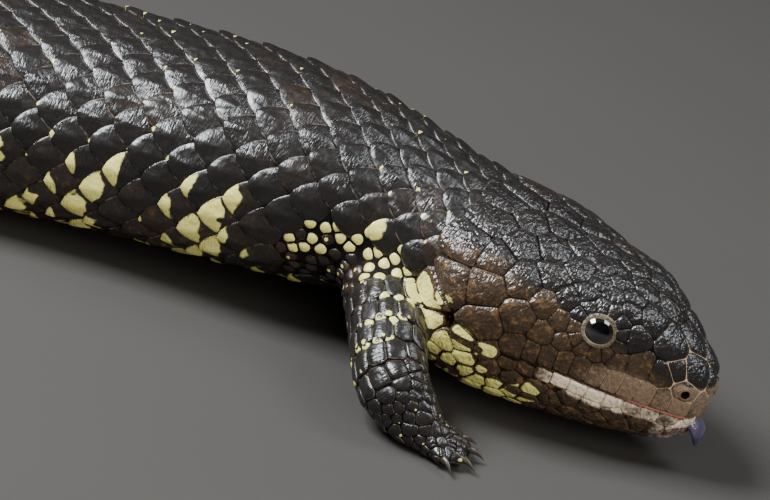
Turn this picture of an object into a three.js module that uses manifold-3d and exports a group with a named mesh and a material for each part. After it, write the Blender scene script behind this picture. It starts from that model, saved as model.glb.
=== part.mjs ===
// A shingleback, one of the blue tongued skinks, life size and standing still.
// Millimetres, +Z up, head toward +X. The model stands on the plane z = 0.

import * as THREE from "three";
import { mergeVertices } from "three/addons/utils/BufferGeometryUtils.js";
import Module from "manifold-3d";

const wasm = await Module();
wasm.setup();

// Body sections from the snout tip backwards: distance along the spine, half width,
// height above the spine, depth below it, and how square the upper and lower halves are.
const SECTIONS = [
  { at: 0, width: 0, top: 0, bottom: 0, squareTop: 2.2, squareBottom: 2.2 },
  { at: 1.2, width: 5.6, top: 5.8, bottom: 8.0, squareTop: 2.3, squareBottom: 2.3 },
  { at: 6, width: 9.4, top: 9.8, bottom: 12.0, squareTop: 2.6, squareBottom: 2.6 },
  { at: 12, width: 12.8, top: 13.2, bottom: 14.2, squareTop: 2.7, squareBottom: 2.7 },
  { at: 18, width: 16.0, top: 15.8, bottom: 16.2, squareTop: 2.7, squareBottom: 2.8 },
  { at: 25, width: 19.2, top: 17.2, bottom: 18.0, squareTop: 2.6, squareBottom: 2.8 },
  { at: 35, width: 23.2, top: 17.6, bottom: 20.4, squareTop: 2.4, squareBottom: 2.8 },
  { at: 46, width: 26.6, top: 17.2, bottom: 22.2, squareTop: 2.3, squareBottom: 2.7 },
  { at: 54, width: 27.6, top: 16.8, bottom: 22.4, squareTop: 2.2, squareBottom: 2.6 },
  { at: 62, width: 25.2, top: 16.2, bottom: 21.2, squareTop: 2.1, squareBottom: 2.5 },
  { at: 70, width: 23.4, top: 16.4, bottom: 20.2, squareTop: 2.1, squareBottom: 2.4 },
  { at: 80, width: 24.6, top: 17.8, bottom: 20.2, squareTop: 2.1, squareBottom: 2.5 },
  { at: 95, width: 27.6, top: 20.4, bottom: 21.4, squareTop: 2.1, squareBottom: 2.6 },
  { at: 115, width: 30.6, top: 22.2, bottom: 22.0, squareTop: 2.1, squareBottom: 2.8 },
  { at: 150, width: 33.0, top: 22.4, bottom: 21.6, squareTop: 2.1, squareBottom: 2.9 },
  { at: 190, width: 34.0, top: 22.4, bottom: 20.6, squareTop: 2.1, squareBottom: 2.9 },
  { at: 225, width: 30.0, top: 21.0, bottom: 18.8, squareTop: 2.1, squareBottom: 2.8 },
  { at: 246, width: 24.6, top: 18.8, bottom: 17.2, squareTop: 2.1, squareBottom: 2.6 },
  { at: 261, width: 21.6, top: 17.2, bottom: 15.6, squareTop: 2.1, squareBottom: 2.4 },
  { at: 278, width: 21.2, top: 16.8, bottom: 14.8, squareTop: 2.1, squareBottom: 2.4 },
  { at: 297, width: 20.6, top: 16.4, bottom: 14.0, squareTop: 2.1, squareBottom: 2.4 },
  { at: 313, width: 17.8, top: 14.2, bottom: 12.2, squareTop: 2.1, squareBottom: 2.4 },
  { at: 326, width: 11.6, top: 9.6, bottom: 8.6, squareTop: 2.1, squareBottom: 2.3 },
  { at: 332, width: 0, top: 0, bottom: 0, squareTop: 2.1, squareBottom: 2.2 },
];
const BODY_LENGTH = 332;

// The way the spine bends: heading (left is positive) and pitch (up is positive), in degrees.
const HEADING_AT = [0, 62, 75, 100, 130, 160, 200, 250, 290, 332];
const HEADING = [-14, -14, -14, -13, -7, 3, 11, 13, 5, -8];
const PITCH_AT = [0, 62, 75, 95, 120, 160, 200, 230, 265, 300, 332];
const PITCH = [-11, -10, -3, 3, 6, 5, 2, 3, 6, 4, 3];
const ANCHOR_AT = 170;
const ANCHOR_HEIGHT = 21.6;

// Where the body is divided, and the gap that neighbours keep.
const GAP = 0.3;
const NECK_AT = 56;
const TORSO_AT = 68.5;
const TAIL_AT = 250;
// Corners lie on a grid, and details finer than this are merged after joining.
const GRID = 0.001;
const FINEST = 0.06;
const WELD = 1e-4;
const LEAST_PIECE = 500;

// How finely the body is divided along and around it.
const BODY_SIDES = 24;
const HEAD_STATIONS = [0, 0.5, 1.6, 3.6, 6.5, 10, 14, 19, 25, 31, 37, 43, 49, 54, 58.5, 63];
const TRUNK_STEPS = 16;
const TAIL_STATIONS = [266, 279, 291, 302, 311, 319, 325, 329, 331.2, 332];

// Head details. Places are (distance from the snout tip, half of the width to one side, height).
const HEAD_FRAME_AT = 28;
const EYE = {
  at: 25, side: 17.5, up: 9, radius: 4, sunk: 2.3, around: 14, rings: 8,
  faces: { aside: 0.86, above: 0.4, ahead: 0.32 },
};
const LID = { ring: 3.3, thick: 0.75, sides: 6, around: 16 };
const NOSTRIL = {
  at: 4.1, side: 7.6, up: 3.0, radius: 0.75, depth: 1.4, sides: 8,
  faces: { aside: 1, above: 0.25, ahead: 0.55 },
};
const EAR = { at: 51.5, side: 27.4, up: -3.5, long: 2.0, tall: 3.4, deep: 1.8, around: 10, rings: 8 };
const MOUTH_LINE = [
  [-6, -2.2], [4, -2.6], [14, -3.0], [24, -2.9], [38, -4.6], [44, -7.6], [48, -14], [50, -32],
];
const MOUTH_GAP = { front: 1.1, back: 0.35, narrowing: 3 };
const CHIN = { at: 1.8, up: -3.4, long: 9 };
const TONGUE = {
  path: [[9, -3.6], [4.5, -4.2], [1, -4.9], [-1.2, -6.2], [-1.9, -7.9], [-2.2, -9.7]],
  halfWidth: [2.8, 3.2, 3.5, 3.4, 2.2, 0.2],
  halfThickness: [0.7, 1.0, 1.2, 1.2, 0.9, 0.15],
  steps: 9, sides: 8, lean: 0.9,
};

// Limbs. Each joint is given forward of, and outward from, the spine at the root.
const LIMBS = {
  foreleg_right: {
    side: -1, at: 77, root: { forward: 0, out: 15, up: 19 },
    bend: { forward: 21.5, out: 42.5, up: 9.8 }, wrist: { forward: 30, out: 44, up: 5.4 },
    radii: [7.9, 8.3, 7.8, 5.2], turn: -20,
  },
  foreleg_left: {
    side: 1, at: 77, root: { forward: 0, out: 15, up: 19 },
    bend: { forward: 3, out: 42, up: 12 }, wrist: { forward: 18, out: 50, up: 6 },
    radii: [8.2, 8.0, 7.4, 5.4], turn: 20,
  },
  hindleg_right: {
    side: -1, at: 234, root: { forward: 0, out: 13, up: 17 },
    bend: { forward: 13, out: 41, up: 13 }, wrist: { forward: -3, out: 51, up: 6 },
    radii: [9.4, 8.6, 7.4, 5.2], turn: 38,
  },
  hindleg_left: {
    side: 1, at: 234, root: { forward: 0, out: 13, up: 17 },
    bend: { forward: 4, out: 41, up: 13 }, wrist: { forward: -13, out: 49, up: 6 },
    radii: [9.4, 8.6, 7.4, 5.2], turn: 52,
  },
};
const LEG_CLEARANCE = 10.5;
const LIMB_SIDES = 12;
const LIMB_STEPS = 8;
// The middle of the thigh is lifted; the middle of the forearm isn't.
const LIMB_MIDDLE = { share: 0.55, lift: 1.5 };
const WRIST = { back: 4, wall: 30 };

// A foot and its five digits, in the foot's own frame: +X ahead, +Y toward the body.
const PALM = [
  { ahead: -5, up: 4.6, halfWidth: 3.6, halfHeight: 3.4 },
  { ahead: 0, up: 4.0, halfWidth: 4.8, halfHeight: 4.0 },
  { ahead: 4, up: 3.0, halfWidth: 5.6, halfHeight: 3.6 },
  { ahead: 8.5, up: 2.4, halfWidth: 4.8, halfHeight: 2.3 },
];
const DIGITS = [
  { turn: 58, length: 5.0, radius: 1.75 },
  { turn: 29, length: 6.6, radius: 1.9 },
  { turn: 2, length: 7.4, radius: 1.95 },
  { turn: -25, length: 7.2, radius: 1.9 },
  { turn: -54, length: 5.4, radius: 1.75 },
];
const DIGIT_SIDES = 6;
const DIGIT_STEPS = 2;
const PALM_STEPS = 4;
const PALM_SIDES = 8;
// Where the digits start ahead of and beside the palm's middle, how high, and their knuckles.
const DIGIT = { start: 3.0, spread: 2.6, rootUp: 3.0, up: 2.1, knuckle: 0.55, knuckleLift: 0.7, taper: 0.86 };
const CLAW = {
  length: 4.6, radius: 1.0, from: 0.7, sunk: 1.5, arch: 0.5, drop: 1.2,
  narrow: 0.8, point: 0.8, sides: 6, steps: 3,
};

// Back scales: raised plates in cross rows, each row set half a scale aside from the last.
// Sizes are shares of the scale's own width; heights are millimetres from the skin.
const SCUTE = {
  columns: 5.6, tailColumns: 4.8, reach: 0.7, pitch: 1.08, firstRow: 61, lastRow: 319,
  length: 1.24, width: 0.92, sunk: 1.4, front: -0.8, rear: 1.25, ridge: 0.45, vary: 0.05,
};
// Head plates: low domes, smaller on the snout than on the temples.
const PLATE = {
  first: 8.5, last: 52, pitch: 0.9, width: [7.4, 10.0], reach: 0.37, spacing: 1.08,
  height: 0.7, crown: 0.25, sunk: 1.0, shoulder: 0.66, sides: 6, vary: 0.1,
};
// Scales along both lips, from the snout back to the corner of the mouth.
const LIP = {
  first: 7, last: 38, count: 5, fill: 0.92, above: 2.3, below: -2.9,
  tall: 1.6, height: 0.45, sunk: 1.0, taper: 0.9,
};

const COLORS = {
  hide: 0x2a2725, jaw: 0xb8ab78, tongue: 0x23283f, eye: 0x120f0e, claw: 0xc9b795,
};

// Curves through named values, with no overshoot.
function smoothCurve(places, values) {
  const last = places.length - 1;
  const span = places.slice(1).map((p, i) => p - places[i]);
  const slope = span.map((h, i) => (values[i + 1] - values[i]) / h);
  const tangent = values.map(() => 0);
  for (let i = 1; i < last; i += 1) {
    if (slope[i - 1] * slope[i] > 0) {
      const before = 2 * span[i] + span[i - 1];
      const after = span[i] + 2 * span[i - 1];
      tangent[i] = (before + after) / (before / slope[i - 1] + after / slope[i]);
    }
  }
  tangent[0] = slope[0];
  tangent[last] = slope[last - 1];
  return (place) => {
    const p = Math.min(Math.max(place, places[0]), places[last]);
    let i = 0;
    while (i < last - 1 && places[i + 1] <= p) i += 1;
    const t = (p - places[i]) / span[i];
    return (1 + 2 * t) * (1 - t) ** 2 * values[i] + t * (1 - t) ** 2 * span[i] * tangent[i]
      + t * t * (3 - 2 * t) * values[i + 1] + t * t * (t - 1) * span[i] * tangent[i + 1];
  };
}

const sectionPlaces = SECTIONS.map((row) => row.at);
// Squares are interpolated, so that the snout and the tail end are round.
function roundCurve(key) {
  const square = smoothCurve(sectionPlaces, SECTIONS.map((row) => row[key] ** 2));
  return (place) => Math.sqrt(Math.max(square(place), 0));
}
const widthAt = roundCurve("width");
const topAt = roundCurve("top");
const bottomAt = roundCurve("bottom");
const squareTopAt = smoothCurve(sectionPlaces, SECTIONS.map((row) => row.squareTop));
const squareBottomAt = smoothCurve(sectionPlaces, SECTIONS.map((row) => row.squareBottom));

// The spine is walked in steps of 1 mm, from the anchor forward and backward.
const headingAt = smoothCurve(HEADING_AT, HEADING);
const pitchAt = smoothCurve(PITCH_AT, PITCH);
function directionAt(place) {
  const heading = THREE.MathUtils.degToRad(headingAt(place));
  const pitch = THREE.MathUtils.degToRad(pitchAt(place));
  return new THREE.Vector3(
    Math.cos(heading) * Math.cos(pitch),
    Math.sin(heading) * Math.cos(pitch),
    Math.sin(pitch),
  );
}
const spine = [];
spine[ANCHOR_AT] = new THREE.Vector3(0, 0, ANCHOR_HEIGHT);
for (let i = ANCHOR_AT - 1; i >= 0; i -= 1) {
  const step = directionAt(i).add(directionAt(i + 1)).multiplyScalar(0.5);
  spine[i] = spine[i + 1].clone().add(step);
}
for (let i = ANCHOR_AT + 1; i <= BODY_LENGTH; i += 1) {
  const step = directionAt(i).add(directionAt(i - 1)).multiplyScalar(0.5);
  spine[i] = spine[i - 1].clone().sub(step);
}

// The spine's frame at a place: where it is, and its forward, left and up directions.
function frameAt(place) {
  const whole = Math.min(Math.floor(place), BODY_LENGTH - 1);
  const origin = spine[whole].clone().lerp(spine[whole + 1], place - whole);
  const forward = directionAt(place);
  const left = new THREE.Vector3(0, 0, 1).cross(forward).normalize();
  const up = forward.clone().cross(left);
  return { origin, forward, left, up };
}

// A point on the body. The angle is 0 on the left, 90 degrees on top and 180 on the right.
function bodyPoint(place, angle, extra = 0) {
  const grow = widthAt(place) > 0 ? extra : 0;
  const c = Math.cos(angle);
  const s = Math.sin(angle);
  const square = s >= 0 ? squareTopAt(place) : squareBottomAt(place);
  const height = (s >= 0 ? topAt(place) : bottomAt(place)) + grow;
  const aside = (widthAt(place) + grow) * Math.sign(c) * Math.abs(c) ** (2 / square);
  const above = height * Math.sign(s) * Math.abs(s) ** (2 / square);
  const frame = frameAt(place);
  return frame.origin.addScaledVector(frame.left, aside).addScaledVector(frame.up, above);
}

// A closed skin through rings of points; the first and the last ring close to a point.
function skin(rings, sides, pointOn) {
  const geometry = new THREE.SphereGeometry(1, sides, rings - 1);
  const position = geometry.attributes.position;
  for (let ring = 0; ring < rings; ring += 1) {
    for (let side = 0; side <= sides; side += 1) {
      const angle = (2 * Math.PI * (side % sides)) / sides;
      const point = pointOn(ring, angle);
      position.setXYZ(ring * (sides + 1) + side, point.x, point.y, point.z);
    }
  }
  return geometry;
}

// A closed tube along a path, oval in section, with rounded ends.
const CAP = [0, 0.72, 1];
function tube(path, sizes, steps, sides, upright) {
  const curve = new THREE.CatmullRomCurve3(path, false, "centripetal");
  const spots = path.map((_, i) => i / (path.length - 1));
  const wide = smoothCurve(spots, sizes.map((size) => size[0]));
  const tall = smoothCurve(spots, sizes.map((size) => size[1]));
  const capRings = CAP.length - 1;
  const lastRing = steps + 2 * capRings;
  return skin(lastRing + 1, sides, (ring, angle) => {
    const t = THREE.MathUtils.clamp((ring - capRings) / steps, 0, 1);
    const closing = CAP[Math.min(ring, lastRing - ring, capRings)];
    const reach = Math.sqrt(1 - closing ** 2) * Math.min(wide(t), tall(t));
    const forward = curve.getTangent(t);
    const aside = upright.clone().cross(forward).normalize();
    const above = forward.clone().cross(aside);
    const centre = curve.getPoint(t);
    centre.addScaledVector(forward, ring < capRings ? -reach : reach);
    return centre
      .addScaledVector(aside, -wide(t) * closing * Math.cos(angle))
      .addScaledVector(above, tall(t) * closing * Math.sin(angle));
  });
}

// Joining and cutting.
function solid(geometry) {
  const bare = geometry.clone();
  bare.deleteAttribute("normal");
  bare.deleteAttribute("uv");
  const merged = mergeVertices(bare, WELD);
  return new wasm.Manifold(new wasm.Mesh({
    numProp: 3,
    vertProperties: Float32Array.from(merged.attributes.position.array),
    triVerts: Uint32Array.from(merged.index.array),
  }));
}
function largest(shape) {
  return shape.decompose().reduce((best, piece) => (piece.volume() > best.volume() ? piece : best));
}
function geometryOf(shape) {
  const mesh = shape.getMesh();
  const geometry = new THREE.BufferGeometry();
  geometry.setAttribute("position", new THREE.BufferAttribute(Float32Array.from(mesh.vertProperties), 3));
  geometry.setIndex(new THREE.BufferAttribute(Uint32Array.from(mesh.triVerts), 1));
  geometry.computeVertexNormals();
  return geometry;
}
// Puts every corner on a fine grid, which closes hairline slits, and keeps the outer body.
function settled(shape) {
  const geometry = geometryOf(shape.simplify(FINEST));
  const position = geometry.attributes.position;
  for (let i = 0; i < position.count; i += 1) {
    const [x, y, z] = position.array.slice(3 * i, 3 * i + 3).map((value) => Math.round(value / GRID) * GRID);
    position.setXYZ(i, x, y, z);
  }
  return largest(solid(geometry));
}
function placed(geometry, origin, xAxis, yAxis, zAxis) {
  const matrix = new THREE.Matrix4().makeBasis(xAxis, yAxis, zAxis).setPosition(origin);
  return geometry.clone().applyMatrix4(matrix);
}

const FAR = 120;
const UPWARD = new THREE.Vector3(0, 0, 1);
// A thin wall square to the spine, which parts the body there.
function parting(place) {
  const { origin, forward, left, up } = frameAt(place);
  return solid(placed(new THREE.BoxGeometry(GAP, FAR, FAR), origin, forward, left, up));
}
const floor = solid(new THREE.BoxGeometry(4 * FAR, 4 * FAR, FAR).translate(0, 0, -FAR / 2));

// The whole body, and one a little larger, which trims what grows from it.
const trunkStations = Array.from(
  { length: TRUNK_STEPS - 1 },
  (_, i) => THREE.MathUtils.lerp(HEAD_STATIONS.at(-1), TAIL_STATIONS[0], (i + 1) / TRUNK_STEPS),
);
const stations = [...HEAD_STATIONS, ...trunkStations, ...TAIL_STATIONS];
function bodySkin(grow) {
  return skin(stations.length, BODY_SIDES, (ring, angle) => bodyPoint(stations[ring], angle, grow));
}
const wholeBody = solid(bodySkin(0));
const clearance = solid(bodySkin(GAP));

// Half of the distance around the body, and the angle down from the top at an arc length.
const ARC_STEPS = 48;
function arcTable(place) {
  const table = [0];
  for (let i = 1; i <= ARC_STEPS; i += 1) {
    const before = bodyPoint(place, Math.PI / 2 - (Math.PI * (i - 1)) / ARC_STEPS);
    const here = bodyPoint(place, Math.PI / 2 - (Math.PI * i) / ARC_STEPS);
    table.push(table[i - 1] + here.distanceTo(before));
  }
  return table;
}
// A point at a share of the half girth: 0 on the back's midline, 1 under the belly, left is positive.
function girthPoint(place, share, lift) {
  const table = arcTable(place);
  const arc = Math.min(Math.abs(share), 1) * table[ARC_STEPS];
  let i = 1;
  while (i < ARC_STEPS && table[i] < arc) i += 1;
  const part = (arc - table[i - 1]) / (table[i] - table[i - 1]);
  const angle = (Math.PI * (i - 1 + part)) / ARC_STEPS;
  return bodyPoint(place, Math.PI / 2 - Math.sign(share) * angle, lift);
}
function halfGirth(place) {
  return arcTable(place)[ARC_STEPS];
}

// Seeded draws, so that the scales vary in the same way each time.
let seed = 20117;
function draw() {
  seed = (seed * 16807) % 2147483647;
  return seed / 2147483647;
}
function varied(value, share) {
  return value * (1 + share * (2 * draw() - 1));
}

// One scale: a wedge with a rear point, sunk in front and raised at its rear edge.
// Corners are shares of its length toward the tail and of its width to the left.
const SCUTE_OUTLINE = [[0.5, 0], [0.2, -0.5], [-0.45, -0.34], [-0.45, 0.34], [0.2, 0.5]];
function scute(place, share, width) {
  const length = varied(SCUTE.length, SCUTE.vary) * width;
  const rear = varied(SCUTE.rear, 2 * SCUTE.vary);
  const girth = halfGirth(place);
  const point = (behind, aside, lift) => girthPoint(
    place + behind * length,
    share + (aside * width * SCUTE.width) / girth,
    lift,
  );
  const sides = SCUTE_OUTLINE.length;
  const rearPoint = 0.5 * Math.PI;
  const geometry = new THREE.CylinderGeometry(1, 1, 1, sides, 1, false, rearPoint);
  return onSurface(geometry, 1, (x, z, onTop, inMiddle) => {
    const turn = Math.round(((Math.atan2(x, z) - rearPoint) / (2 * Math.PI)) * sides);
    const [behind, aside] = inMiddle ? [0, 0] : SCUTE_OUTLINE.at(turn % sides);
    const slope = THREE.MathUtils.lerp(SCUTE.front, rear, behind + 0.5);
    const lift = onTop ? slope + (inMiddle ? SCUTE.ridge : 0) : -SCUTE.sunk;
    return point(behind, aside, lift);
  });
}
// The scales of the back, the flanks and the tail, but none where a leg grows out.
function backScales() {
  const scales = [];
  let row = 0;
  for (let place = SCUTE.firstRow; place < SCUTE.lastRow; row += 1) {
    const columns = place < TAIL_AT ? SCUTE.columns : SCUTE.tailColumns;
    const width = halfGirth(place) / columns;
    const offset = row % 2 === 0 ? 0 : 0.5;
    const reach = Math.floor(SCUTE.reach * columns - offset);
    for (let column = -reach - 2 * offset; column <= reach; column += 1) {
      const share = (column + offset) / columns;
      const spot = girthPoint(place, share, 0);
      const clear = limbLines.every((line) => line.closestPointToPoint(spot, true, new THREE.Vector3())
        .distanceTo(spot) > LEG_CLEARANCE + width / 2);
      if (clear) scales.push(scute(place, share, varied(width, SCUTE.vary)));
    }
    place += SCUTE.pitch * width;
  }
  return scales;
}

// One head plate: a low dome with a slightly raised middle.
function plate(place, share, width) {
  const girth = halfGirth(place);
  const height = varied(PLATE.height, 2 * PLATE.vary);
  const geometry = new THREE.CylinderGeometry(PLATE.shoulder, 1, 1, PLATE.sides, 1);
  return onSurface(geometry, width / 2, (behind, aside, onTop, inMiddle) => {
    const lift = height + (inMiddle ? PLATE.crown : 0);
    return girthPoint(place + behind, share + aside / girth, onTop ? lift : -PLATE.sunk);
  });
}
// Moves each corner of a unit disc onto the body, through a rule for its place.
const MIDDLE = 0.1;
function onSurface(geometry, radius, rule) {
  const position = geometry.attributes.position;
  for (let i = 0; i < position.count; i += 1) {
    const behind = position.getX(i) * radius;
    const aside = position.getZ(i) * radius;
    const inMiddle = Math.hypot(behind, aside) < MIDDLE * radius;
    const spot = rule(behind, aside, position.getY(i) > 0, inMiddle);
    position.setXYZ(i, spot.x, spot.y, spot.z);
  }
  return geometry;
}
function headPlates() {
  const plates = [];
  const eyes = [1, -1].map((side) => eyePlace(side).surface);
  let row = 0;
  for (let place = PLATE.first; place < PLATE.last; row += 1) {
    const along = (place - PLATE.first) / (PLATE.last - PLATE.first);
    const width = THREE.MathUtils.lerp(PLATE.width[0], PLATE.width[1], along);
    const step = (PLATE.spacing * width) / halfGirth(place);
    const offset = row % 2 === 0 ? 0 : 0.5;
    const reach = Math.floor(PLATE.reach / step - offset);
    for (let column = -reach - 2 * offset; column <= reach; column += 1) {
      const share = (column + offset) * step;
      const spot = girthPoint(place, share, 0);
      const clear = eyes.every((eye) => eye.distanceTo(spot) > LID.ring + LID.thick + width / 2);
      if (clear) plates.push(plate(place, share, varied(width, PLATE.vary)));
    }
    place += PLATE.pitch * width;
  }
  return plates;
}
// The angle of a section's side at a height above the spine, or below it when negative.
function angleAtHeight(place, up, side) {
  const half = up < 0 ? bottomAt(place) : topAt(place);
  const square = up < 0 ? squareBottomAt(place) : squareTopAt(place);
  const angle = Math.sign(up) * Math.asin(Math.min((Math.abs(up) / half) ** (square / 2), 1));
  return side > 0 ? angle : Math.PI - angle;
}
const mouthHeightAt = smoothCurve(MOUTH_LINE.map(([at]) => at), MOUTH_LINE.map(([, up]) => up));
function lipScales(rise) {
  const scales = [];
  const spacing = (LIP.last - LIP.first) / (LIP.count - 1);
  for (const side of [1, -1]) {
    for (let i = 0; i < LIP.count; i += 1) {
      const place = LIP.first + i * spacing;
      const geometry = new THREE.CylinderGeometry(LIP.taper, 1, 1, 4, 1, false, Math.PI / 4);
      scales.push(onSurface(geometry, Math.SQRT1_2, (behind, down, onTop) => {
        const spot = place + behind * LIP.fill * spacing;
        const up = mouthHeightAt(spot) + rise - side * down * 2 * LIP.tall;
        return bodyPoint(spot, angleAtHeight(spot, up, side), onTop ? LIP.height : -LIP.sunk);
      }));
    }
  }
  return scales;
}

// The head's own straight frame.
const headFrame = frameAt(HEAD_FRAME_AT);
function headPoint(at, aside, above) {
  return headFrame.origin.clone()
    .addScaledVector(headFrame.forward, HEAD_FRAME_AT - at)
    .addScaledVector(headFrame.left, aside)
    .addScaledVector(headFrame.up, above);
}
function inHead(geometry) {
  return placed(geometry, headPoint(0, 0, 0), headFrame.forward, headFrame.left, headFrame.up);
}

function headDirection(side, { aside, above, ahead }) {
  return new THREE.Vector3()
    .addScaledVector(headFrame.left, side * aside)
    .addScaledVector(headFrame.up, above)
    .addScaledVector(headFrame.forward, ahead)
    .normalize();
}

// Eyes: a ball on each side, sunk so that a round cap shows between the lids.
function eyePlace(side) {
  const outward = headDirection(side, EYE.faces);
  const surface = headPoint(EYE.at, side * EYE.side, EYE.up);
  return { outward, surface, centre: surface.clone().addScaledVector(outward, -EYE.sunk) };
}
function lidRing(side) {
  const { outward, surface } = eyePlace(side);
  const turned = new THREE.Quaternion().setFromUnitVectors(UPWARD, outward);
  return new THREE.TorusGeometry(LID.ring, LID.thick, LID.sides, LID.around)
    .applyQuaternion(turned)
    .translate(surface.x, surface.y, surface.z);
}
function socket(side) {
  const { centre } = eyePlace(side);
  return new THREE.SphereGeometry(EYE.radius + GAP, EYE.around, EYE.rings)
    .translate(centre.x, centre.y, centre.z);
}
function nostril(side) {
  const outward = headDirection(side, NOSTRIL.faces);
  const surface = headPoint(NOSTRIL.at, side * NOSTRIL.side, NOSTRIL.up);
  const turned = new THREE.Quaternion().setFromUnitVectors(new THREE.Vector3(0, 1, 0), outward);
  return new THREE.CylinderGeometry(NOSTRIL.radius, NOSTRIL.radius, 2 * NOSTRIL.depth, NOSTRIL.sides)
    .applyQuaternion(turned)
    .translate(surface.x, surface.y, surface.z);
}
function ear(side) {
  return inHead(new THREE.SphereGeometry(1, EAR.around, EAR.rings)
    .scale(EAR.long, EAR.deep, EAR.tall)
    .translate(-EAR.at, side * EAR.side, EAR.up));
}

// The mouth: a slot across the head that is widest in front and turns down behind the corner.
function mouthSlot() {
  const upper = MOUTH_LINE.map(([at, up]) => new THREE.Vector2(-at, up));
  const lower = MOUTH_LINE.map(([at, up], i) => {
    const narrowed = THREE.MathUtils.clamp((i - 1) / MOUTH_GAP.narrowing, 0, 1);
    const gap = THREE.MathUtils.lerp(MOUTH_GAP.front, MOUTH_GAP.back, narrowed);
    const next = MOUTH_LINE[Math.min(i + 1, MOUTH_LINE.length - 1)];
    const before = MOUTH_LINE[Math.max(i - 1, 0)];
    const along = new THREE.Vector2(next[0] - before[0], next[1] - before[1]).normalize();
    return new THREE.Vector2(-(at + along.y * gap), up - along.x * gap);
  });
  const outline = new THREE.Shape([...upper, ...lower.reverse()]);
  const slab = new THREE.ExtrudeGeometry(outline, { depth: FAR, bevelEnabled: false, steps: 1 });
  return inHead(slab.translate(0, 0, -FAR / 2).rotateX(Math.PI / 2));
}
// The lower jaw stops short of the snout, so that the tongue hangs in front of it.
function chinTrim() {
  return inHead(new THREE.BoxGeometry(CHIN.long, FAR, FAR)
    .translate(CHIN.long / 2 - CHIN.at, 0, CHIN.up - FAR / 2));
}
function tongueSkin(grow) {
  const path = TONGUE.path.map(([at, up]) => headPoint(at, 0, up));
  const sizes = TONGUE.path.map((_, i) => [TONGUE.halfWidth[i] + grow, TONGUE.halfThickness[i] + grow]);
  const upright = headFrame.up.clone().addScaledVector(headFrame.forward, TONGUE.lean);
  return tube(path, sizes, TONGUE.steps, TONGUE.sides, upright);
}

// Limbs, feet and claws.
function limbJoints(limb) {
  const { origin, forward } = frameAt(limb.at);
  const ahead = new THREE.Vector3(forward.x, forward.y, 0).normalize();
  const outward = UPWARD.clone().cross(ahead).multiplyScalar(limb.side);
  const joint = ({ forward: f, out, up }) => new THREE.Vector3(origin.x, origin.y, up)
    .addScaledVector(ahead, f)
    .addScaledVector(outward, out);
  return { root: joint(limb.root), bend: joint(limb.bend), wrist: joint(limb.wrist), ahead };
}
// A foot lies under the wrist. Its first digit is on the side toward the body.
function footFrame(limb) {
  const { wrist, ahead } = limbJoints(limb);
  const turn = limb.side * THREE.MathUtils.degToRad(limb.turn);
  const toes = ahead.clone().applyAxisAngle(UPWARD, turn);
  const inner = UPWARD.clone().cross(toes).multiplyScalar(-limb.side);
  return { origin: wrist.clone().setZ(0), toes, inner };
}
function onFoot(foot, ahead, aside, above) {
  return foot.origin.clone()
    .addScaledVector(foot.toes, ahead)
    .addScaledVector(foot.inner, aside)
    .addScaledVector(UPWARD, above);
}
// Places along a digit, from a distance out and a height.
function digitLine(foot, digit) {
  const turn = THREE.MathUtils.degToRad(digit.turn);
  return (distance, above) => {
    const ahead = DIGIT.start + distance * Math.cos(turn);
    const aside = (DIGIT.spread + distance) * Math.sin(turn);
    return onFoot(foot, ahead, aside, above);
  };
}
function digitSkin(foot, digit) {
  const place = digitLine(foot, digit);
  const path = [
    place(0, DIGIT.rootUp),
    place(DIGIT.knuckle * digit.length, DIGIT.up + DIGIT.knuckleLift),
    place(digit.length, DIGIT.up),
  ];
  const sizes = [1, 1, DIGIT.taper].map((share) => [digit.radius * share, digit.radius * share]);
  return tube(path, sizes, DIGIT_STEPS, DIGIT_SIDES, UPWARD);
}
function clawSkin(foot, digit, grow) {
  const place = digitLine(foot, digit);
  const start = digit.length + digit.radius * CLAW.from - CLAW.sunk;
  const lastRing = CLAW.steps + 1;
  const ahead = place(1, 0).sub(place(0, 0)).normalize();
  const aside = UPWARD.clone().cross(ahead).normalize();
  return skin(lastRing + 1, CLAW.sides, (ring, angle) => {
    const atRoot = ring === 0;
    const atTip = ring === lastRing;
    const t = Math.max(ring - 1, 0) / CLAW.steps;
    const radius = atRoot || atTip ? 0 : CLAW.radius * (1 - t) ** CLAW.point + grow;
    const along = start + CLAW.length * t + (atTip ? grow : 0) - (atRoot ? grow : 0);
    const above = DIGIT.up + CLAW.arch * Math.sin(Math.PI * t) - CLAW.drop * t * t;
    return place(along, above)
      .addScaledVector(aside, -radius * CLAW.narrow * Math.cos(angle))
      .addScaledVector(UPWARD, radius * Math.sin(angle));
  });
}
function palmSkin(foot) {
  const path = PALM.map(({ ahead, up }) => onFoot(foot, ahead, 0, up));
  const sizes = PALM.map(({ halfWidth, halfHeight }) => [halfWidth, halfHeight]);
  return tube(path, sizes, PALM_STEPS, PALM_SIDES, UPWARD);
}
function limbSkin(limb) {
  const { root, bend, wrist } = limbJoints(limb);
  const middle = root.clone().lerp(bend, LIMB_MIDDLE.share).addScaledVector(UPWARD, LIMB_MIDDLE.lift);
  const forearm = bend.clone().lerp(wrist, LIMB_MIDDLE.share);
  const [atRoot, atMiddle, atBend, atWrist] = limb.radii;
  const sizes = [atRoot, atMiddle, atBend, (atBend + atWrist) / 2, atWrist].map((radius) => [radius, radius]);
  return tube([root, middle, bend, forearm, wrist], sizes, LIMB_STEPS, LIMB_SIDES, UPWARD);
}
const limbLines = Object.values(LIMBS).map((limb) => {
  const joints = limbJoints(limb);
  return new THREE.Line3(joints.root, joints.bend);
});
// The leg ends above the foot, across the line of the forearm.
function wristParting(limb) {
  const { bend, wrist } = limbJoints(limb);
  const along = wrist.clone().sub(bend).normalize();
  const aside = UPWARD.clone().cross(along).normalize();
  const above = along.clone().cross(aside);
  const origin = wrist.clone().addScaledVector(along, -WRIST.back);
  return solid(placed(new THREE.BoxGeometry(GAP, WRIST.wall, WRIST.wall), origin, along, aside, above));
}

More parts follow.
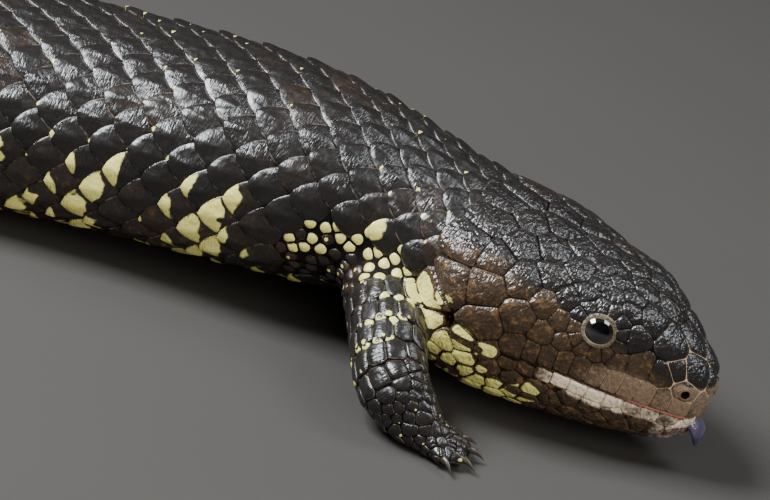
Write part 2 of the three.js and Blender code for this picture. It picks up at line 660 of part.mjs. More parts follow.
// Building the nodes.
const root = new THREE.Group();
function addNode(name, shape, color, roughness = 0.5) {
  const material = new THREE.MeshStandardMaterial({ color, roughness, metalness: 0 });
  const mesh = new THREE.Mesh(shape.isBufferGeometry ? shape : geometryOf(shape), material);
  mesh.name = name;
  root.add(mesh);
  return mesh;
}

const raised = [...backScales(), ...headPlates(), ...lipScales(LIP.above), ...lipScales(LIP.below)];
const scaledBody = wasm.Manifold.union([wholeBody, ...raised.map(solid)]);
const cuts = [NECK_AT, TORSO_AT, TAIL_AT].map(parting);
const dressedHead = [1, -1].reduce((shape, side) => shape
  .add(solid(lidRing(side)))
  .subtract(solid(socket(side)))
  .subtract(solid(nostril(side)))
  .subtract(solid(ear(side))), scaledBody);
const parted = [solid(mouthSlot()), ...cuts, floor]
  .reduce((shape, tool) => shape.subtract(tool), dressedHead);
const lengths = parted.decompose()
  .filter((piece) => piece.volume() > LEAST_PIECE)
  .sort((a, b) => b.boundingBox().max[0] - a.boundingBox().max[0]);
const [headPiece, jawPiece, neckPiece, torsoPiece, tailPiece] = lengths;
const tongueClearance = solid(tongueSkin(GAP));
addNode("head", settled(headPiece.subtract(tongueClearance)), COLORS.hide);
addNode("lower_jaw", settled(jawPiece.subtract(solid(chinTrim())).subtract(tongueClearance)), COLORS.jaw);
addNode("tongue", solid(tongueSkin(0)), COLORS.tongue, 0.3);
addNode("neck", settled(neckPiece), COLORS.hide);
addNode("torso", settled(torsoPiece), COLORS.hide);
addNode("tail", settled(tailPiece), COLORS.hide);
for (const [name, side] of [["eye_left", 1], ["eye_right", -1]]) {
  const eye = addNode(name, new THREE.SphereGeometry(EYE.radius, EYE.around, EYE.rings), COLORS.eye, 0.1);
  eye.position.copy(eyePlace(side).centre);
}

for (const [name, limb] of Object.entries(LIMBS)) {
  const foot = footFrame(limb);
  let shape = solid(limbSkin(limb)).add(solid(palmSkin(foot)));
  for (const digit of DIGITS) shape = shape.add(solid(digitSkin(foot, digit)));
  for (const digit of DIGITS) shape = shape.subtract(solid(clawSkin(foot, digit, GAP)));
  shape = [clearance, floor, wristParting(limb)].reduce((rest, tool) => rest.subtract(tool), shape);
  const pieces = shape.decompose().sort((a, b) => b.volume() - a.volume());
  addNode(name, settled(pieces[0]), COLORS.hide);
  addNode(name.replace("leg", "foot"), settled(pieces[1]), COLORS.hide);
  DIGITS.forEach((digit, i) => {
    const claw = solid(clawSkin(foot, digit, 0)).subtract(floor);
    addNode(`claw_${name.replace("leg", "")}_${i + 1}`, claw, COLORS.claw, 0.4);
  });
}

// The model's own frame: the middle of its box, on the floor.
const box = new THREE.Box3().setFromObject(root);
const middle = box.getCenter(new THREE.Vector3());
const onGrid = (value) => Math.round(value / GRID) * GRID;
root.position.set(onGrid(-middle.x), onGrid(-middle.y), onGrid(-box.min.z));

export default root;
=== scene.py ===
"""The looks of a life-size shingleback, one of the blue tongued skinks.

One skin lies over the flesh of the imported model. Scales, head plates, lids, eyes, tongue and
claws are solid pieces on it. Lengths are millimetres until a mesh is made.
"""

from math import cos, pi, radians, sin

import bpy
import numpy as np
from bpy.props import FloatProperty, FloatVectorProperty, IntProperty, PointerProperty
from mathutils import Matrix, Vector
from mathutils.bvhtree import BVHTree
from mathutils.kdtree import KDTree


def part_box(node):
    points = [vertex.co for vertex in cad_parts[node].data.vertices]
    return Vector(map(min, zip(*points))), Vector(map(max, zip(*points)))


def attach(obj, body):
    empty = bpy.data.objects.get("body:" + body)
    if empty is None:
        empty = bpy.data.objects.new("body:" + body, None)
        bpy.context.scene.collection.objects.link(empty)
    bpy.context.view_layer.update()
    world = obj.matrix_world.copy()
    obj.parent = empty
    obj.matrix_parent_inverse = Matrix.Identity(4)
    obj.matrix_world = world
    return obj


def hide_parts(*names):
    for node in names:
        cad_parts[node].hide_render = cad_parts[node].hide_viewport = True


bl_info = {
    "name": "Shingleback model",
    "version": (1, 0, 0),
    "blender": (4, 5, 0),
    "location": "3D View > Sidebar > Shingleback",
    "description": "Skin, scales, eyes and claws of a life-size shingleback",
    "category": "Object",
}

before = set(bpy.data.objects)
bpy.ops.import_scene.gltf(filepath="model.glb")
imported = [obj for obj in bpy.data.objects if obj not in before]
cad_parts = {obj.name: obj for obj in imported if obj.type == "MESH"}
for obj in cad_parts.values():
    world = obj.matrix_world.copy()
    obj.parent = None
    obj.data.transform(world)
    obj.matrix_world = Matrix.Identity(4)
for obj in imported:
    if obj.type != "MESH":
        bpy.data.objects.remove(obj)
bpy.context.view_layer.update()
MM = 0.001
# The least height of a corner over the floor, and a distance that is outside the head, in mm.
FLOOR_GAP = 0.02
OUTSIDE = 60

# The body's form, from the snout tip backwards: distance along the spine, half width, height
# above the spine, depth below it, and how square the upper and lower halves are.
SECTIONS = (
    (0, 0, 0, 0, 2.2, 2.2),
    (1.2, 5.6, 5.8, 8.0, 2.3, 2.3),
    (6, 9.4, 9.8, 12.0, 2.6, 2.6),
    (12, 12.8, 13.2, 14.2, 2.7, 2.7),
    (18, 16.0, 15.8, 16.2, 2.7, 2.8),
    (25, 19.2, 17.2, 18.0, 2.6, 2.8),
    (35, 23.2, 17.6, 20.4, 2.4, 2.8),
    (46, 26.6, 17.2, 22.2, 2.3, 2.7),
    (54, 27.6, 16.8, 22.4, 2.2, 2.6),
    (62, 25.2, 16.2, 21.2, 2.1, 2.5),
    (70, 23.4, 16.4, 20.2, 2.1, 2.4),
    (80, 24.6, 17.8, 20.2, 2.1, 2.5),
    (95, 27.6, 20.4, 21.4, 2.1, 2.6),
    (115, 30.6, 22.2, 22.0, 2.1, 2.8),
    (150, 33.0, 22.4, 21.6, 2.1, 2.9),
    (190, 34.0, 22.4, 20.6, 2.1, 2.9),
    (225, 30.0, 21.0, 18.8, 2.1, 2.8),
    (246, 24.6, 18.8, 17.2, 2.1, 2.6),
    (261, 21.6, 17.2, 15.6, 2.1, 2.4),
    (278, 21.2, 16.8, 14.8, 2.1, 2.4),
    (297, 20.6, 16.4, 14.0, 2.1, 2.4),
    (313, 17.8, 14.2, 12.2, 2.1, 2.4),
    (326, 11.6, 9.6, 8.6, 2.1, 2.3),
    (332, 0, 0, 0, 2.1, 2.2),
)
BODY_LENGTH = 332
HEADING_AT = (0, 62, 75, 100, 130, 160, 200, 250, 290, 332)
HEADING = (-14, -14, -14, -13, -7, 3, 11, 13, 5, -8)
PITCH_AT = (0, 62, 75, 95, 120, 160, 200, 230, 265, 300, 332)
PITCH = (-11, -10, -3, 3, 6, 5, 2, 3, 6, 4, 3)
ANCHOR_AT = 170
ANCHOR_HEIGHT = 21.6
HEAD_FRAME_AT = 28
HEAD_END = 60
HEAD_SIDE = (31, 34)
HEAD_BLEND = 4
LIMB_MARGIN = 1.5
TAIL_AT = 250

# The way along the body's rings, which stand closer near its two ends.
RING_SHARE = (0, 0.02, 0.05, 0.09, 0.14, 0.24, 0.9, 0.95, 0.98, 1)
RING_AT = (0, 0.15, 1.2, 4.5, 12, 40, 300, 322, 330.6, 332)

EYE = {
    "at": 25, "side": 17.5, "up": 9, "radius": 4, "sunk": 2.3,
    "aside": 0.86, "above": 0.4, "ahead": 0.32, "bulge": 0.05, "bulge_wide": 0.5,
}
LID = {
    "ring": 3.35, "thick": 0.52, "high": 0.55, "out": 0.1,
    "pinch": 0.1, "upper": 0.25, "notches": 15, "notch": 0.08,
}
NOSTRIL = {"at": 4.1, "side": 8.0, "up": 3.2, "deep": 2.4, "wide": (0.9, 1.9)}
EAR = {"at": 52.5, "side": 27.8, "up": -4.5, "long": 1.3, "tall": 2.5, "deep": 2.2}
# Soft swells and hollows of the head's skin: at, aside, above, how wide, how high.
SWELLS = (
    (24, 13.5, 15.5, 5.5, 0.9),
    (15, 12.5, 6.0, 4.0, -0.6),
    (4.5, 7.0, 6.0, 3.0, 0.4),
    (33, 21.0, 7.0, 5.0, -0.4),
    (44, 23.5, 8.0, 6.5, 0.5),
    (46, 25.5, -7.0, 7.0, 0.8),
    (22, 17.0, -4.2, 4.0, 0.35),
)
MOUTH_LINE = ((-6, -2.2), (4, -2.6), (14, -3.0), (24, -2.9), (38, -4.6), (46, -6.4))
MOUTH_END = 38
# How far the skin lies below the model's own surface, under scales and shields.
SKIN_DEPTH_AT = (0, 45, 60, 80, 250, 332)
SKIN_DEPTH = (0.2, 0.3, 0.6, 1.1, 1.1, 0.8)
SNOUT_TAPER = 6
NECK_FOLD = {"at": 61, "wide": 3.2, "deep": 1.9, "from": 0.3, "to": 0.8, "soft": 0.15}
LIMB_DEPTH = 0.4
# The slit of the mouth: its middle below the mouth line, its half height, and how deep it is behind
# and in front. The chin lies further back than the upper lip.
SLIT = {"below": 0.2, "half": 0.95, "deep": 0.5, "deeper": 1.3, "front": (4, 30)}
CHIN = {"back": 1.8, "long": 9, "curve": 1.2, "lowest": -16}
SOCKET = {"from": 0.1, "to": 0.6, "behind": 0.9}
TONGUE_PATH = ((9, -3.6), (4.5, -4.2), (1, -4.9), (-1.2, -6.2), (-1.9, -7.9), (-2.2, -9.7))
TONGUE_WIDTH = (2.8, 3.2, 3.5, 3.4, 2.2, 0.4)
TONGUE_THICKNESS = (0.7, 1.0, 1.2, 1.2, 0.9, 0.2)

# Limbs: joints forward of, and outward from, the spine at the root, and above the floor.
LIMBS = {
    "foreleg_right": {
        "side": -1, "at": 77, "root": (0, 15, 19), "bend": (21.5, 42.5, 9.8), "wrist": (30, 44, 5.4),
        "radii": (7.9, 8.3, 7.8, 5.2), "turn": -20,
    },
    "foreleg_left": {
        "side": 1, "at": 77, "root": (0, 15, 19), "bend": (3, 42, 12), "wrist": (18, 50, 6),
        "radii": (8.2, 8.0, 7.4, 5.4), "turn": 20,
    },
    "hindleg_right": {
        "side": -1, "at": 234, "root": (0, 13, 17), "bend": (13, 41, 13), "wrist": (-3, 51, 6),
        "radii": (9.4, 8.6, 7.4, 5.2), "turn": 38,
    },
    "hindleg_left": {
        "side": 1, "at": 234, "root": (0, 13, 17), "bend": (4, 41, 13), "wrist": (-13, 49, 6),
        "radii": (9.4, 8.6, 7.4, 5.2), "turn": 52,
    },
}
LIMB_MIDDLE = {"share": 0.55, "lift": 1.5}
PALM = ((-5, 4.6, 3.6, 3.4), (0, 4.0, 4.8, 4.0), (4, 3.0, 5.6, 3.6), (8.5, 2.4, 4.8, 2.3))
DIGITS = ((58, 5.0, 1.75), (29, 6.6, 1.9), (2, 7.4, 1.95), (-25, 7.2, 1.9), (-54, 5.4, 1.75))
DIGIT = {
    "start": 3.0, "spread": 2.6, "root_up": 3.0, "up": 2.1, "knuckle": 0.55, "lift": 0.7, "taper": 0.86,
}
CLAW = {
    "length": 4.6, "radius": 1.0, "from": 0.7, "sunk": 1.5, "arch": 0.5,
    "drop": 1.2, "narrow": 0.8, "point": 0.8, "round": 0.06,
}

FLESH = ["head", "lower_jaw", "neck", "torso", "tail"] + [
    name for leg in LIMBS for name in (leg, leg.replace("leg", "foot"))
]


def curve(places, values):
    """A smooth curve through values, with no overshoot, for numbers or arrays."""
    x = np.array(places, float)
    y = np.array(values, float)
    span = np.diff(x)
    slope = np.diff(y) / span
    tangent = np.zeros_like(y)
    for i in range(1, len(x) - 1):
        if slope[i - 1] * slope[i] > 0:
            before = 2 * span[i] + span[i - 1]
            after = span[i] + 2 * span[i - 1]
            tangent[i] = (before + after) / (before / slope[i - 1] + after / slope[i])
    tangent[0] = slope[0]
    tangent[-1] = slope[-1]

    def at(place):
        p = np.clip(np.asarray(place, float), x[0], x[-1])
        i = np.clip(np.searchsorted(x, p, side="right") - 1, 0, len(x) - 2)
        t = (p - x[i]) / span[i]
        start = (1 + 2 * t) * (1 - t) ** 2 * y[i] + t * (1 - t) ** 2 * span[i] * tangent[i]
        end = t * t * (3 - 2 * t) * y[i + 1] + t * t * (t - 1) * span[i] * tangent[i + 1]
        return start + end

    return at


def smooth(low, high, value):
    """0 below low and 1 above high, with a soft step between."""
    t = np.clip((np.asarray(value, float) - low) / (high - low), 0, 1)
    return t * t * (3 - 2 * t)


def unit(vectors):
    return vectors / np.maximum(np.linalg.norm(vectors, axis=-1, keepdims=True), 1e-9)


def far(points, place):
    """How far points are from a place, or each from its own."""
    return np.linalg.norm(points - place, axis=1)


def around(sides):
    """Even angles round a circle."""
    return 2 * pi * np.arange(sides) / sides


COLUMNS = list(zip(*SECTIONS))
SQUARED = [curve(COLUMNS[0], np.array(column) ** 2) for column in COLUMNS[1:4]]
SQUARENESS = [curve(COLUMNS[0], column) for column in COLUMNS[4:6]]
heading_at = curve(HEADING_AT, HEADING)
pitch_at = curve(PITCH_AT, PITCH)
mouth_at = curve(*zip(*MOUTH_LINE))
ring_at = curve(RING_SHARE, RING_AT)
skin_depth = curve(SKIN_DEPTH_AT, SKIN_DEPTH)


def direction_at(place):
    """The way toward the head at a place on the spine."""
    heading = np.radians(heading_at(place))
    pitch = np.radians(pitch_at(place))
    return np.stack(
        [np.cos(heading) * np.cos(pitch), np.sin(heading) * np.cos(pitch), np.sin(pitch)], -1
    )


def spine_points():
    """The spine, walked in steps of 1 mm from the anchor forward and backward."""
    ahead = direction_at(np.arange(BODY_LENGTH + 1))
    steps = (ahead[1:] + ahead[:-1]) / 2
    travelled = np.concatenate([np.zeros((1, 3)), np.cumsum(steps, axis=0)])
    return travelled[ANCHOR_AT] - travelled + np.array([0, 0, ANCHOR_HEIGHT])


SPINE = spine_points()


def spine_frame(place):
    """Where the spine is at a place, and its forward, left and up directions."""
    place = np.asarray(place, float)
    whole = np.clip(np.floor(place), 0, BODY_LENGTH - 1).astype(int)
    part = (place - whole)[..., None]
    origin = SPINE[whole] * (1 - part) + SPINE[whole + 1] * part
    forward = direction_at(place)
    left = unit(np.cross(np.array([0, 0, 1.0]), forward))
    return origin, forward, left, np.cross(forward, left)


HEAD_FRAME = spine_frame(HEAD_FRAME_AT)


def head_point(at, aside, above):
    """A point in the head's own straight frame, before the model is put on its box."""
    origin, forward, left, up = HEAD_FRAME
    at, aside, above = (np.asarray(value, float)[..., None] for value in (at, aside, above))
    return origin + forward * (HEAD_FRAME_AT - at) + left * aside + up * above


def eye_place(side):
    """The eyeball's centre and the way that it looks."""
    _, forward, left, up = HEAD_FRAME
    outward = unit(side * EYE["aside"] * left + EYE["above"] * up + EYE["ahead"] * forward)
    return head_point(EYE["at"], side * EYE["side"], EYE["up"]) - outward * EYE["sunk"], outward


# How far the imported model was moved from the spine's own frame: its right eye tells.
EYE_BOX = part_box("eye_right")
SHIFT = np.array((EYE_BOX[0] + EYE_BOX[1]) / 2) / MM - eye_place(-1)[0]
SPINE = SPINE + SHIFT
HEAD_FRAME = spine_frame(HEAD_FRAME_AT)


def in_head(points):
    """How far points are behind the snout tip, to the left, and above the head's axis."""
    origin, forward, left, up = HEAD_FRAME
    away = points - origin
    return HEAD_FRAME_AT - away @ forward, away @ left, away @ up


def nostril_place(side):
    return head_point(NOSTRIL["at"], side * NOSTRIL["side"], NOSTRIL["up"])


def ear_place(side):
    return head_point(EAR["at"], side * EAR["side"], EAR["up"])


def eye_axes(side):
    """The eyeball's centre, the way that it looks, and the ways along and over the eye."""
    centre, outward = eye_place(side)
    tangent = unit(np.cross(HEAD_FRAME[3], outward))
    return centre, outward, tangent, np.cross(outward, tangent)


def body_point(place, angle, extra=0.0):
    """A point on the body. The angle is 0 on the left, 90 degrees on top and 180 on the right."""
    half_width, top, bottom = (np.sqrt(np.maximum(square(place), 0)) for square in SQUARED)
    c, s = np.cos(angle), np.sin(angle)
    squareness = np.where(s >= 0, SQUARENESS[0](place), SQUARENESS[1](place))
    grow = np.where(half_width > 0, extra, 0)
    aside = (half_width + grow) * np.sign(c) * np.abs(c) ** (2 / squareness)
    above = (np.where(s >= 0, top, bottom) + grow) * np.sign(s) * np.abs(s) ** (2 / squareness)
    origin, _, left, up = spine_frame(place)
    return origin + left * aside[..., None] + up * above[..., None]


ARC_STEPS = 64


def girth_table(place):
    """Lengths from the back's midline down one side, to every step of the angle."""
    angles = pi / 2 - pi * np.arange(ARC_STEPS + 1) / ARC_STEPS
    ring = body_point(np.full(angles.shape, float(place)), angles)
    return np.concatenate([[0], np.cumsum(np.linalg.norm(np.diff(ring, axis=0), axis=1))])


def girth_angle(table, share):
    """The angle at a share of half the girth: 0 on the back, 1 below, positive on the left."""
    steps = np.interp(np.abs(share) * table[-1], table, np.arange(ARC_STEPS + 1))
    return pi / 2 - np.sign(share) * pi * steps / ARC_STEPS


def limb_joints(limb):
    """The limb's joints, and the level direction toward the head at its root."""
    origin, forward, _, _ = spine_frame(limb["at"])
    ahead = unit(forward * np.array([1, 1, 0]))
    outward = np.array([-ahead[1], ahead[0], 0]) * limb["side"]
    floor = np.array([origin[0], origin[1], SHIFT[2]])
    joints = [
        floor + ahead * forth + outward * out + np.array([0, 0, up])
        for forth, out, up in (limb["root"], limb["bend"], limb["wrist"])
    ]
    return joints, ahead


def smooth_path(points, share):
    """A centripetal curve through points, at shares of its way from 0 to 1."""
    points = np.array(points, float)
    first = 2 * points[0] - points[1]
    last = 2 * points[-1] - points[-2]
    padded = np.concatenate([[first], points, [last]])
    place = np.clip(np.asarray(share, float), 0, 1) * (len(points) - 1)
    i = np.clip(np.floor(place).astype(int), 0, len(points) - 2)
    t = (place - i)[..., None]
    p0, p1, p2, p3 = (padded[i + k] for k in range(4))
    spans = ((p0, p1), (p1, p2), (p2, p3))
    d0, d1, d2 = (np.sqrt(np.linalg.norm(b - a, axis=-1))[..., None] for a, b in spans)
    m1 = ((p1 - p0) / d0 - (p2 - p0) / (d0 + d1) + (p2 - p1) / d1) * d1
    m2 = ((p2 - p1) / d1 - (p3 - p1) / (d1 + d2) + (p3 - p2) / d2) * d1
    square, cube = t * t, t * t * t
    return (
        p1 * (2 * cube - 3 * square + 1)
        + m1 * (cube - 2 * square + t)
        + p2 * (3 * square - 2 * cube)
        + m2 * (cube - square)
    )


class Tube:
    """A closed tube along a path, oval in section, with rounded ends."""

    CAP = 0.08
    STEP = 0.002

    def __init__(self, path, wide, tall, upright=(0, 0, 1)):
        self.path = path
        spots = np.linspace(0, 1, len(path))
        self.wide = curve(spots, wide)
        self.tall = curve(spots, tall)
        self.upright = np.array(upright, float)

    def frame(self, share):
        before, after = share - self.STEP, share + self.STEP
        forward = unit(smooth_path(self.path, after) - smooth_path(self.path, before))
        aside = unit(np.cross(self.upright, forward))
        return smooth_path(self.path, share), forward, aside, np.cross(forward, aside)

    def point(self, share, angle):
        """The way goes from 0 to 1, with the caps in its first and last few hundredths."""
        t = np.clip((share - self.CAP) / (1 - 2 * self.CAP), 0, 1)
        over = np.clip(np.maximum(self.CAP - share, share - 1 + self.CAP) / self.CAP, 0, 1)
        closing = np.cos(over * pi / 2)
        reach = np.sin(over * pi / 2) * np.minimum(self.wide(t), self.tall(t)) * np.sign(share - 0.5)
        centre, forward, aside, above = self.frame(t)
        across = (self.wide(t) * closing * np.cos(angle))[..., None] * aside
        upward = (self.tall(t) * closing * np.sin(angle))[..., None] * above
        return centre + forward * reach[..., None] - across + upward


def limb_tube(limb):
    (root, bend, wrist), _ = limb_joints(limb)
    share = LIMB_MIDDLE["share"]
    middle = root + (bend - root) * share + np.array([0, 0, LIMB_MIDDLE["lift"]])
    forearm = bend + (wrist - bend) * share
    a, b, c, d = (radius - LIMB_DEPTH for radius in limb["radii"])
    sizes = (a, b, c, (c + d) / 2, d)
    return Tube((root, middle, bend, forearm, wrist), sizes, sizes)


def foot_frame(limb):
    """Under the wrist, the way of the toes, and the side of the first digit."""
    (_, _, wrist), ahead = limb_joints(limb)
    turn = limb["side"] * radians(limb["turn"])
    c, s = cos(turn), sin(turn)
    toes = np.array([c * ahead[0] - s * ahead[1], s * ahead[0] + c * ahead[1], 0])
    inner = np.array([-toes[1], toes[0], 0]) * -limb["side"]
    return np.array([wrist[0], wrist[1], SHIFT[2]]), toes, inner


def on_foot(foot, ahead, aside, above):
    origin, toes, inner = foot
    ahead, aside, above = (np.asarray(value, float)[..., None] for value in (ahead, aside, above))
    return origin + toes * ahead + inner * aside + np.array([0, 0, 1.0]) * above


def palm_tube(limb):
    foot = foot_frame(limb)
    path = [on_foot(foot, ahead, 0, up) for ahead, up, _, _ in PALM]
    return Tube(path, [row[2] for row in PALM], [row[3] for row in PALM])


def digit_place(foot, digit, distance, above):
    turn = radians(digit[0])
    ahead = DIGIT["start"] + np.asarray(distance, float) * cos(turn)
    aside = (DIGIT["spread"] + np.asarray(distance, float)) * sin(turn)
    return on_foot(foot, ahead, aside, above)


def digit_tube(limb, digit):
    foot = foot_frame(limb)
    _, length, radius = digit
    path = [
        digit_place(foot, digit, 0, DIGIT["root_up"]),
        digit_place(foot, digit, DIGIT["knuckle"] * length, DIGIT["up"] + DIGIT["lift"]),
        digit_place(foot, digit, length, DIGIT["up"]),
    ]
    sizes = [radius, radius, radius * DIGIT["taper"]]
    return Tube(path, sizes, sizes)


def claw_point(limb, digit, share, angle):
    """A point on a claw, from its sunk root to its tip."""
    foot = foot_frame(limb)
    t = np.clip((share - CLAW["round"]) / (1 - CLAW["round"]), 0, 1)
    closing = np.sin(np.clip(share / CLAW["round"], 0, 1) * pi / 2)
    radius = CLAW["radius"] * (1 - t) ** CLAW["point"] * closing
    along = digit[1] + digit[2] * CLAW["from"] - CLAW["sunk"] + CLAW["length"] * t
    above = DIGIT["up"] + CLAW["arch"] * np.sin(pi * t) - CLAW["drop"] * t * t
    turn = radians(digit[0])
    ahead = foot[1] * cos(turn) + foot[2] * sin(turn)
    aside = np.array([-ahead[1], ahead[0], 0])
    centre = digit_place(foot, digit, along, above)
    across = aside * (radius * CLAW["narrow"] * np.cos(angle))[..., None]
    return centre + across + np.array([0, 0, 1.0]) * (radius * np.sin(angle))[..., None]


# Meshes.


def deselect():
    bpy.ops.object.select_all(action="DESELECT")


def make_active(piece):
    deselect()
    piece.select_set(True)
    bpy.context.view_layer.objects.active = piece


def coordinates(mesh):
    flat = np.empty(len(mesh.vertices) * 3)
    mesh.vertices.foreach_get("co", flat)
    return flat.reshape(-1, 3)


def set_coordinates(mesh, points):
    mesh.vertices.foreach_set("co", np.ascontiguousarray(points, float).ravel())
    mesh.update()


def add_piece(name, mesh):
    piece = bpy.data.objects.new(name, mesh)
    bpy.context.scene.collection.objects.link(piece)
    return piece


def face_outward(piece):
    make_active(piece)
    bpy.ops.object.mode_set(mode="EDIT")
    bpy.ops.mesh.select_all(action="SELECT")
    bpy.ops.mesh.normals_make_consistent(inside=False)
    bpy.ops.object.mode_set(mode="OBJECT")
    return piece


def closed_mesh(name, points, faces):
    mesh = bpy.data.meshes.new(name)
    mesh.from_pydata((points * MM).tolist(), [], faces)
    return face_outward(add_piece(name, mesh))


def shaped_sphere(name, segments, rings, point_on):
    """A sphere whose points are moved: point_on takes shares of its way and angles around it."""
    deselect()
    bpy.ops.mesh.primitive_uv_sphere_add(segments=segments, ring_count=rings)
    piece = bpy.context.active_object
    piece.name = piece.data.name = name
    ball = coordinates(piece.data)
    share = np.arccos(np.clip(ball[:, 2], -1, 1)) / pi
    angle = np.arctan2(ball[:, 1], ball[:, 0])
    set_coordinates(piece.data, point_on(share, angle) * MM)
    return face_outward(piece)


def join(pieces, name):
    deselect()
    for piece in pieces:
        piece.select_set(True)
    bpy.context.view_layer.objects.active = pieces[0]
    if len(pieces) > 1:
        bpy.ops.object.join()
    whole = bpy.context.active_object
    whole.name = whole.data.name = name
    return whole


def modify(piece, kind, **settings):
    """Adds a modifier and applies it."""
    make_active(piece)
    modifier = piece.modifiers.new(kind.title(), kind)
    for key, value in settings.items():
        setattr(modifier, key, value)
    bpy.ops.object.modifier_apply(modifier=modifier.name)


def settle(piece, material):
    """Shades a finished piece smooth, gives it its material and sets it on the frame."""
    make_active(piece)
    bpy.ops.object.shade_smooth()
    piece.data.materials.clear()
    piece.data.materials.append(material)
    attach(piece, "root")
    return piece


# Shader maths.


class Value:
    """What a node gives, with arithmetic that adds Math nodes."""

    def __init__(self, paint, socket):
        self.paint = paint
        self.socket = socket

    def math(self, operation, *values):
        settings = {"operation": operation}
        return self.paint.node("ShaderNodeMath", settings, dict(enumerate(values)))

    def __add__(self, other):
        return self.math("ADD", self, other)

    def __sub__(self, other):
        return self.math("SUBTRACT", self, other)

    def __rsub__(self, other):
        return self.math("SUBTRACT", other, self)

    def __mul__(self, other):
        return self.math("MULTIPLY", self, other)

    def step(self, low, high):
        """0 below low and 1 above high, with a soft step between."""
        settings = {"interpolation_type": "SMOOTHSTEP", "clamp": True}
        inputs = {"Value": self, "From Min": low, "From Max": high}
        return self.paint.node("ShaderNodeMapRange", settings, inputs)

class Paint:
    """One material and the nodes behind its shader."""

    # The Mix node's sockets for colours.
    FACTOR, BELOW, ABOVE, RESULT = 0, 6, 7, 2
    NOISE_ROUGHNESS = 0.55
    SHADER_NAMES = {
        "base": "Base Color",
        "rough": "Roughness",
        "coat": "Coat Weight",
        "shine": "Specular IOR Level",
        "normal": "Normal",
    }

    def __init__(self, name):
        self.material = bpy.data.materials.new(name)
        self.material.use_nodes = True
        self.tree = self.material.node_tree
        self.shader = self.tree.nodes["Principled BSDF"]
        self.place = self.node("ShaderNodeTexCoord", output="Object")

    def node(self, kind, settings=None, inputs=None, output=0):
        made = self.tree.nodes.new(kind)
        for key, value in (settings or {}).items():
            setattr(made, key, value)
        for key, value in (inputs or {}).items():
            self.feed(made.inputs[key], value)
        return Value(self, made.outputs[output])

    def feed(self, socket, value):
        if isinstance(value, Value):
            self.tree.links.new(value.socket, socket)
        elif hasattr(socket.default_value, "__len__"):
            padded = list(value) + [1.0] * (len(socket.default_value) - len(value))
            socket.default_value = padded
        else:
            socket.default_value = value

    def mix(self, factor, below, above):
        """One colour over another."""
        inputs = {self.FACTOR: factor, self.BELOW: below, self.ABOVE: above}
        return self.node("ShaderNodeMix", {"data_type": "RGBA"}, inputs, output=self.RESULT)

    def noise(self, scale, detail=3, where=None):
        inputs = {"Vector": where or self.place, "Scale": scale, "Detail": detail}
        inputs["Roughness"] = self.NOISE_ROUGHNESS
        return self.node("ShaderNodeTexNoise", None, inputs)

    def cells(self, scale):
        inputs = {"Vector": self.place, "Scale": scale}
        return self.node("ShaderNodeTexVoronoi", {"feature": "F1"}, inputs, output="Distance")

    def stretch(self, where, lengthwise, across):
        inputs = {"Vector": where, "Scale": (lengthwise, across, 1.0)}
        return self.node("ShaderNodeMapping", {"vector_type": "POINT"}, inputs)

    def uv(self, name):
        return self.node("ShaderNodeUVMap", {"uv_map": name})

    def parts(self, name):
        """The red, green and blue of a painted attribute."""
        colour = self.node("ShaderNodeAttribute", {"attribute_name": name}, output="Color")
        return [
            self.node("ShaderNodeSeparateColor", None, {"Color": colour}, output=channel)
            for channel in ("Red", "Green", "Blue")
        ]

    def bump(self, height, distance, strength):
        inputs = {"Height": height, "Distance": distance, "Strength": strength}
        return self.node("ShaderNodeBump", None, inputs)

    def finish(self, **sockets):
        for key, value in sockets.items():
            self.feed(self.shader.inputs[self.SHADER_NAMES[key]], value)
        return self.material


# Markings. Each colour is a mask from 0 to 1, from where a point lies on the animal.


NOISE_SIDE = 32
NOISE = np.random.default_rng(7).uniform(-1, 1, (NOISE_SIDE, NOISE_SIDE, NOISE_SIDE))
# The size in millimetres and the seed of each soft noise.
SOFT = {
    "band": (26, 3.1),
    "ragged": (9, 5.2),
    "flank": (14, 1.7),
    "belly": (13, 8.4),
    "brown": (9, 6.6),
    "head": (7, 4.4),
    "streak": (1, 9.1),
    "nape": (3, 3.3),
    "blot": (2.2, 4.7),
}

# Pairs are where a soft step starts and ends. On the body they are shares of half the girth, from
# the back down, and on the head millimetres behind the snout tip ("back") or above the head's axis.
BAND = {"every": 30, "lean": 46, "wander": 0.35, "ragged": 0.5, "edge": (-0.8, -0.2)}
FLANK = {"from": (0.4, 0.48), "wander": 0.05}
BELLY = {"from": (0.66, 0.8), "patches": (-0.12, 0.1), "cream": 0.4}
WARM = {"mottle": 0.3, "mottled": (-0.1, 0.7), "low": 0.25, "from": (0.4, 0.6)}
LIMB_CLEAR = (0.5, 2.5)
HEAD_SIDE_BROWN = {"edge": (-1.5, 1.5), "wander": 2.5, "up": 5, "rise": 0.16, "until": 42, "back": (5, 10)}
UPPER_LIP_PALE = {"up": (1.0, 8.0), "back": (14, 38), "over_mouth": (-0.6, 0), "share": 0.78}
NOSE_PALE = {"back": (6.2, 8.2), "up": (5.0, 6.0), "low": (-4, -2), "least": 0.75}
LOWER_LIP_PALE = {"under_mouth": (0, 0.6), "fade": 3, "back": (25, 37), "share": 0.8}
JOWL = {"back": (27, 33), "edge": (-0.4, 1.0), "rise": 0.3, "from": 36}
STREAKS = {"stretch": (7, 2.9, 2.3), "contrast": 1.6, "more": 0.26}
NAPE = {"back": (45, 51), "up": (-2, 5), "spots": (0.1, 0.25), "share": 0.8}
SNOUT_SEAM = {"back": (9.5, 12), "up": (1, 3)}


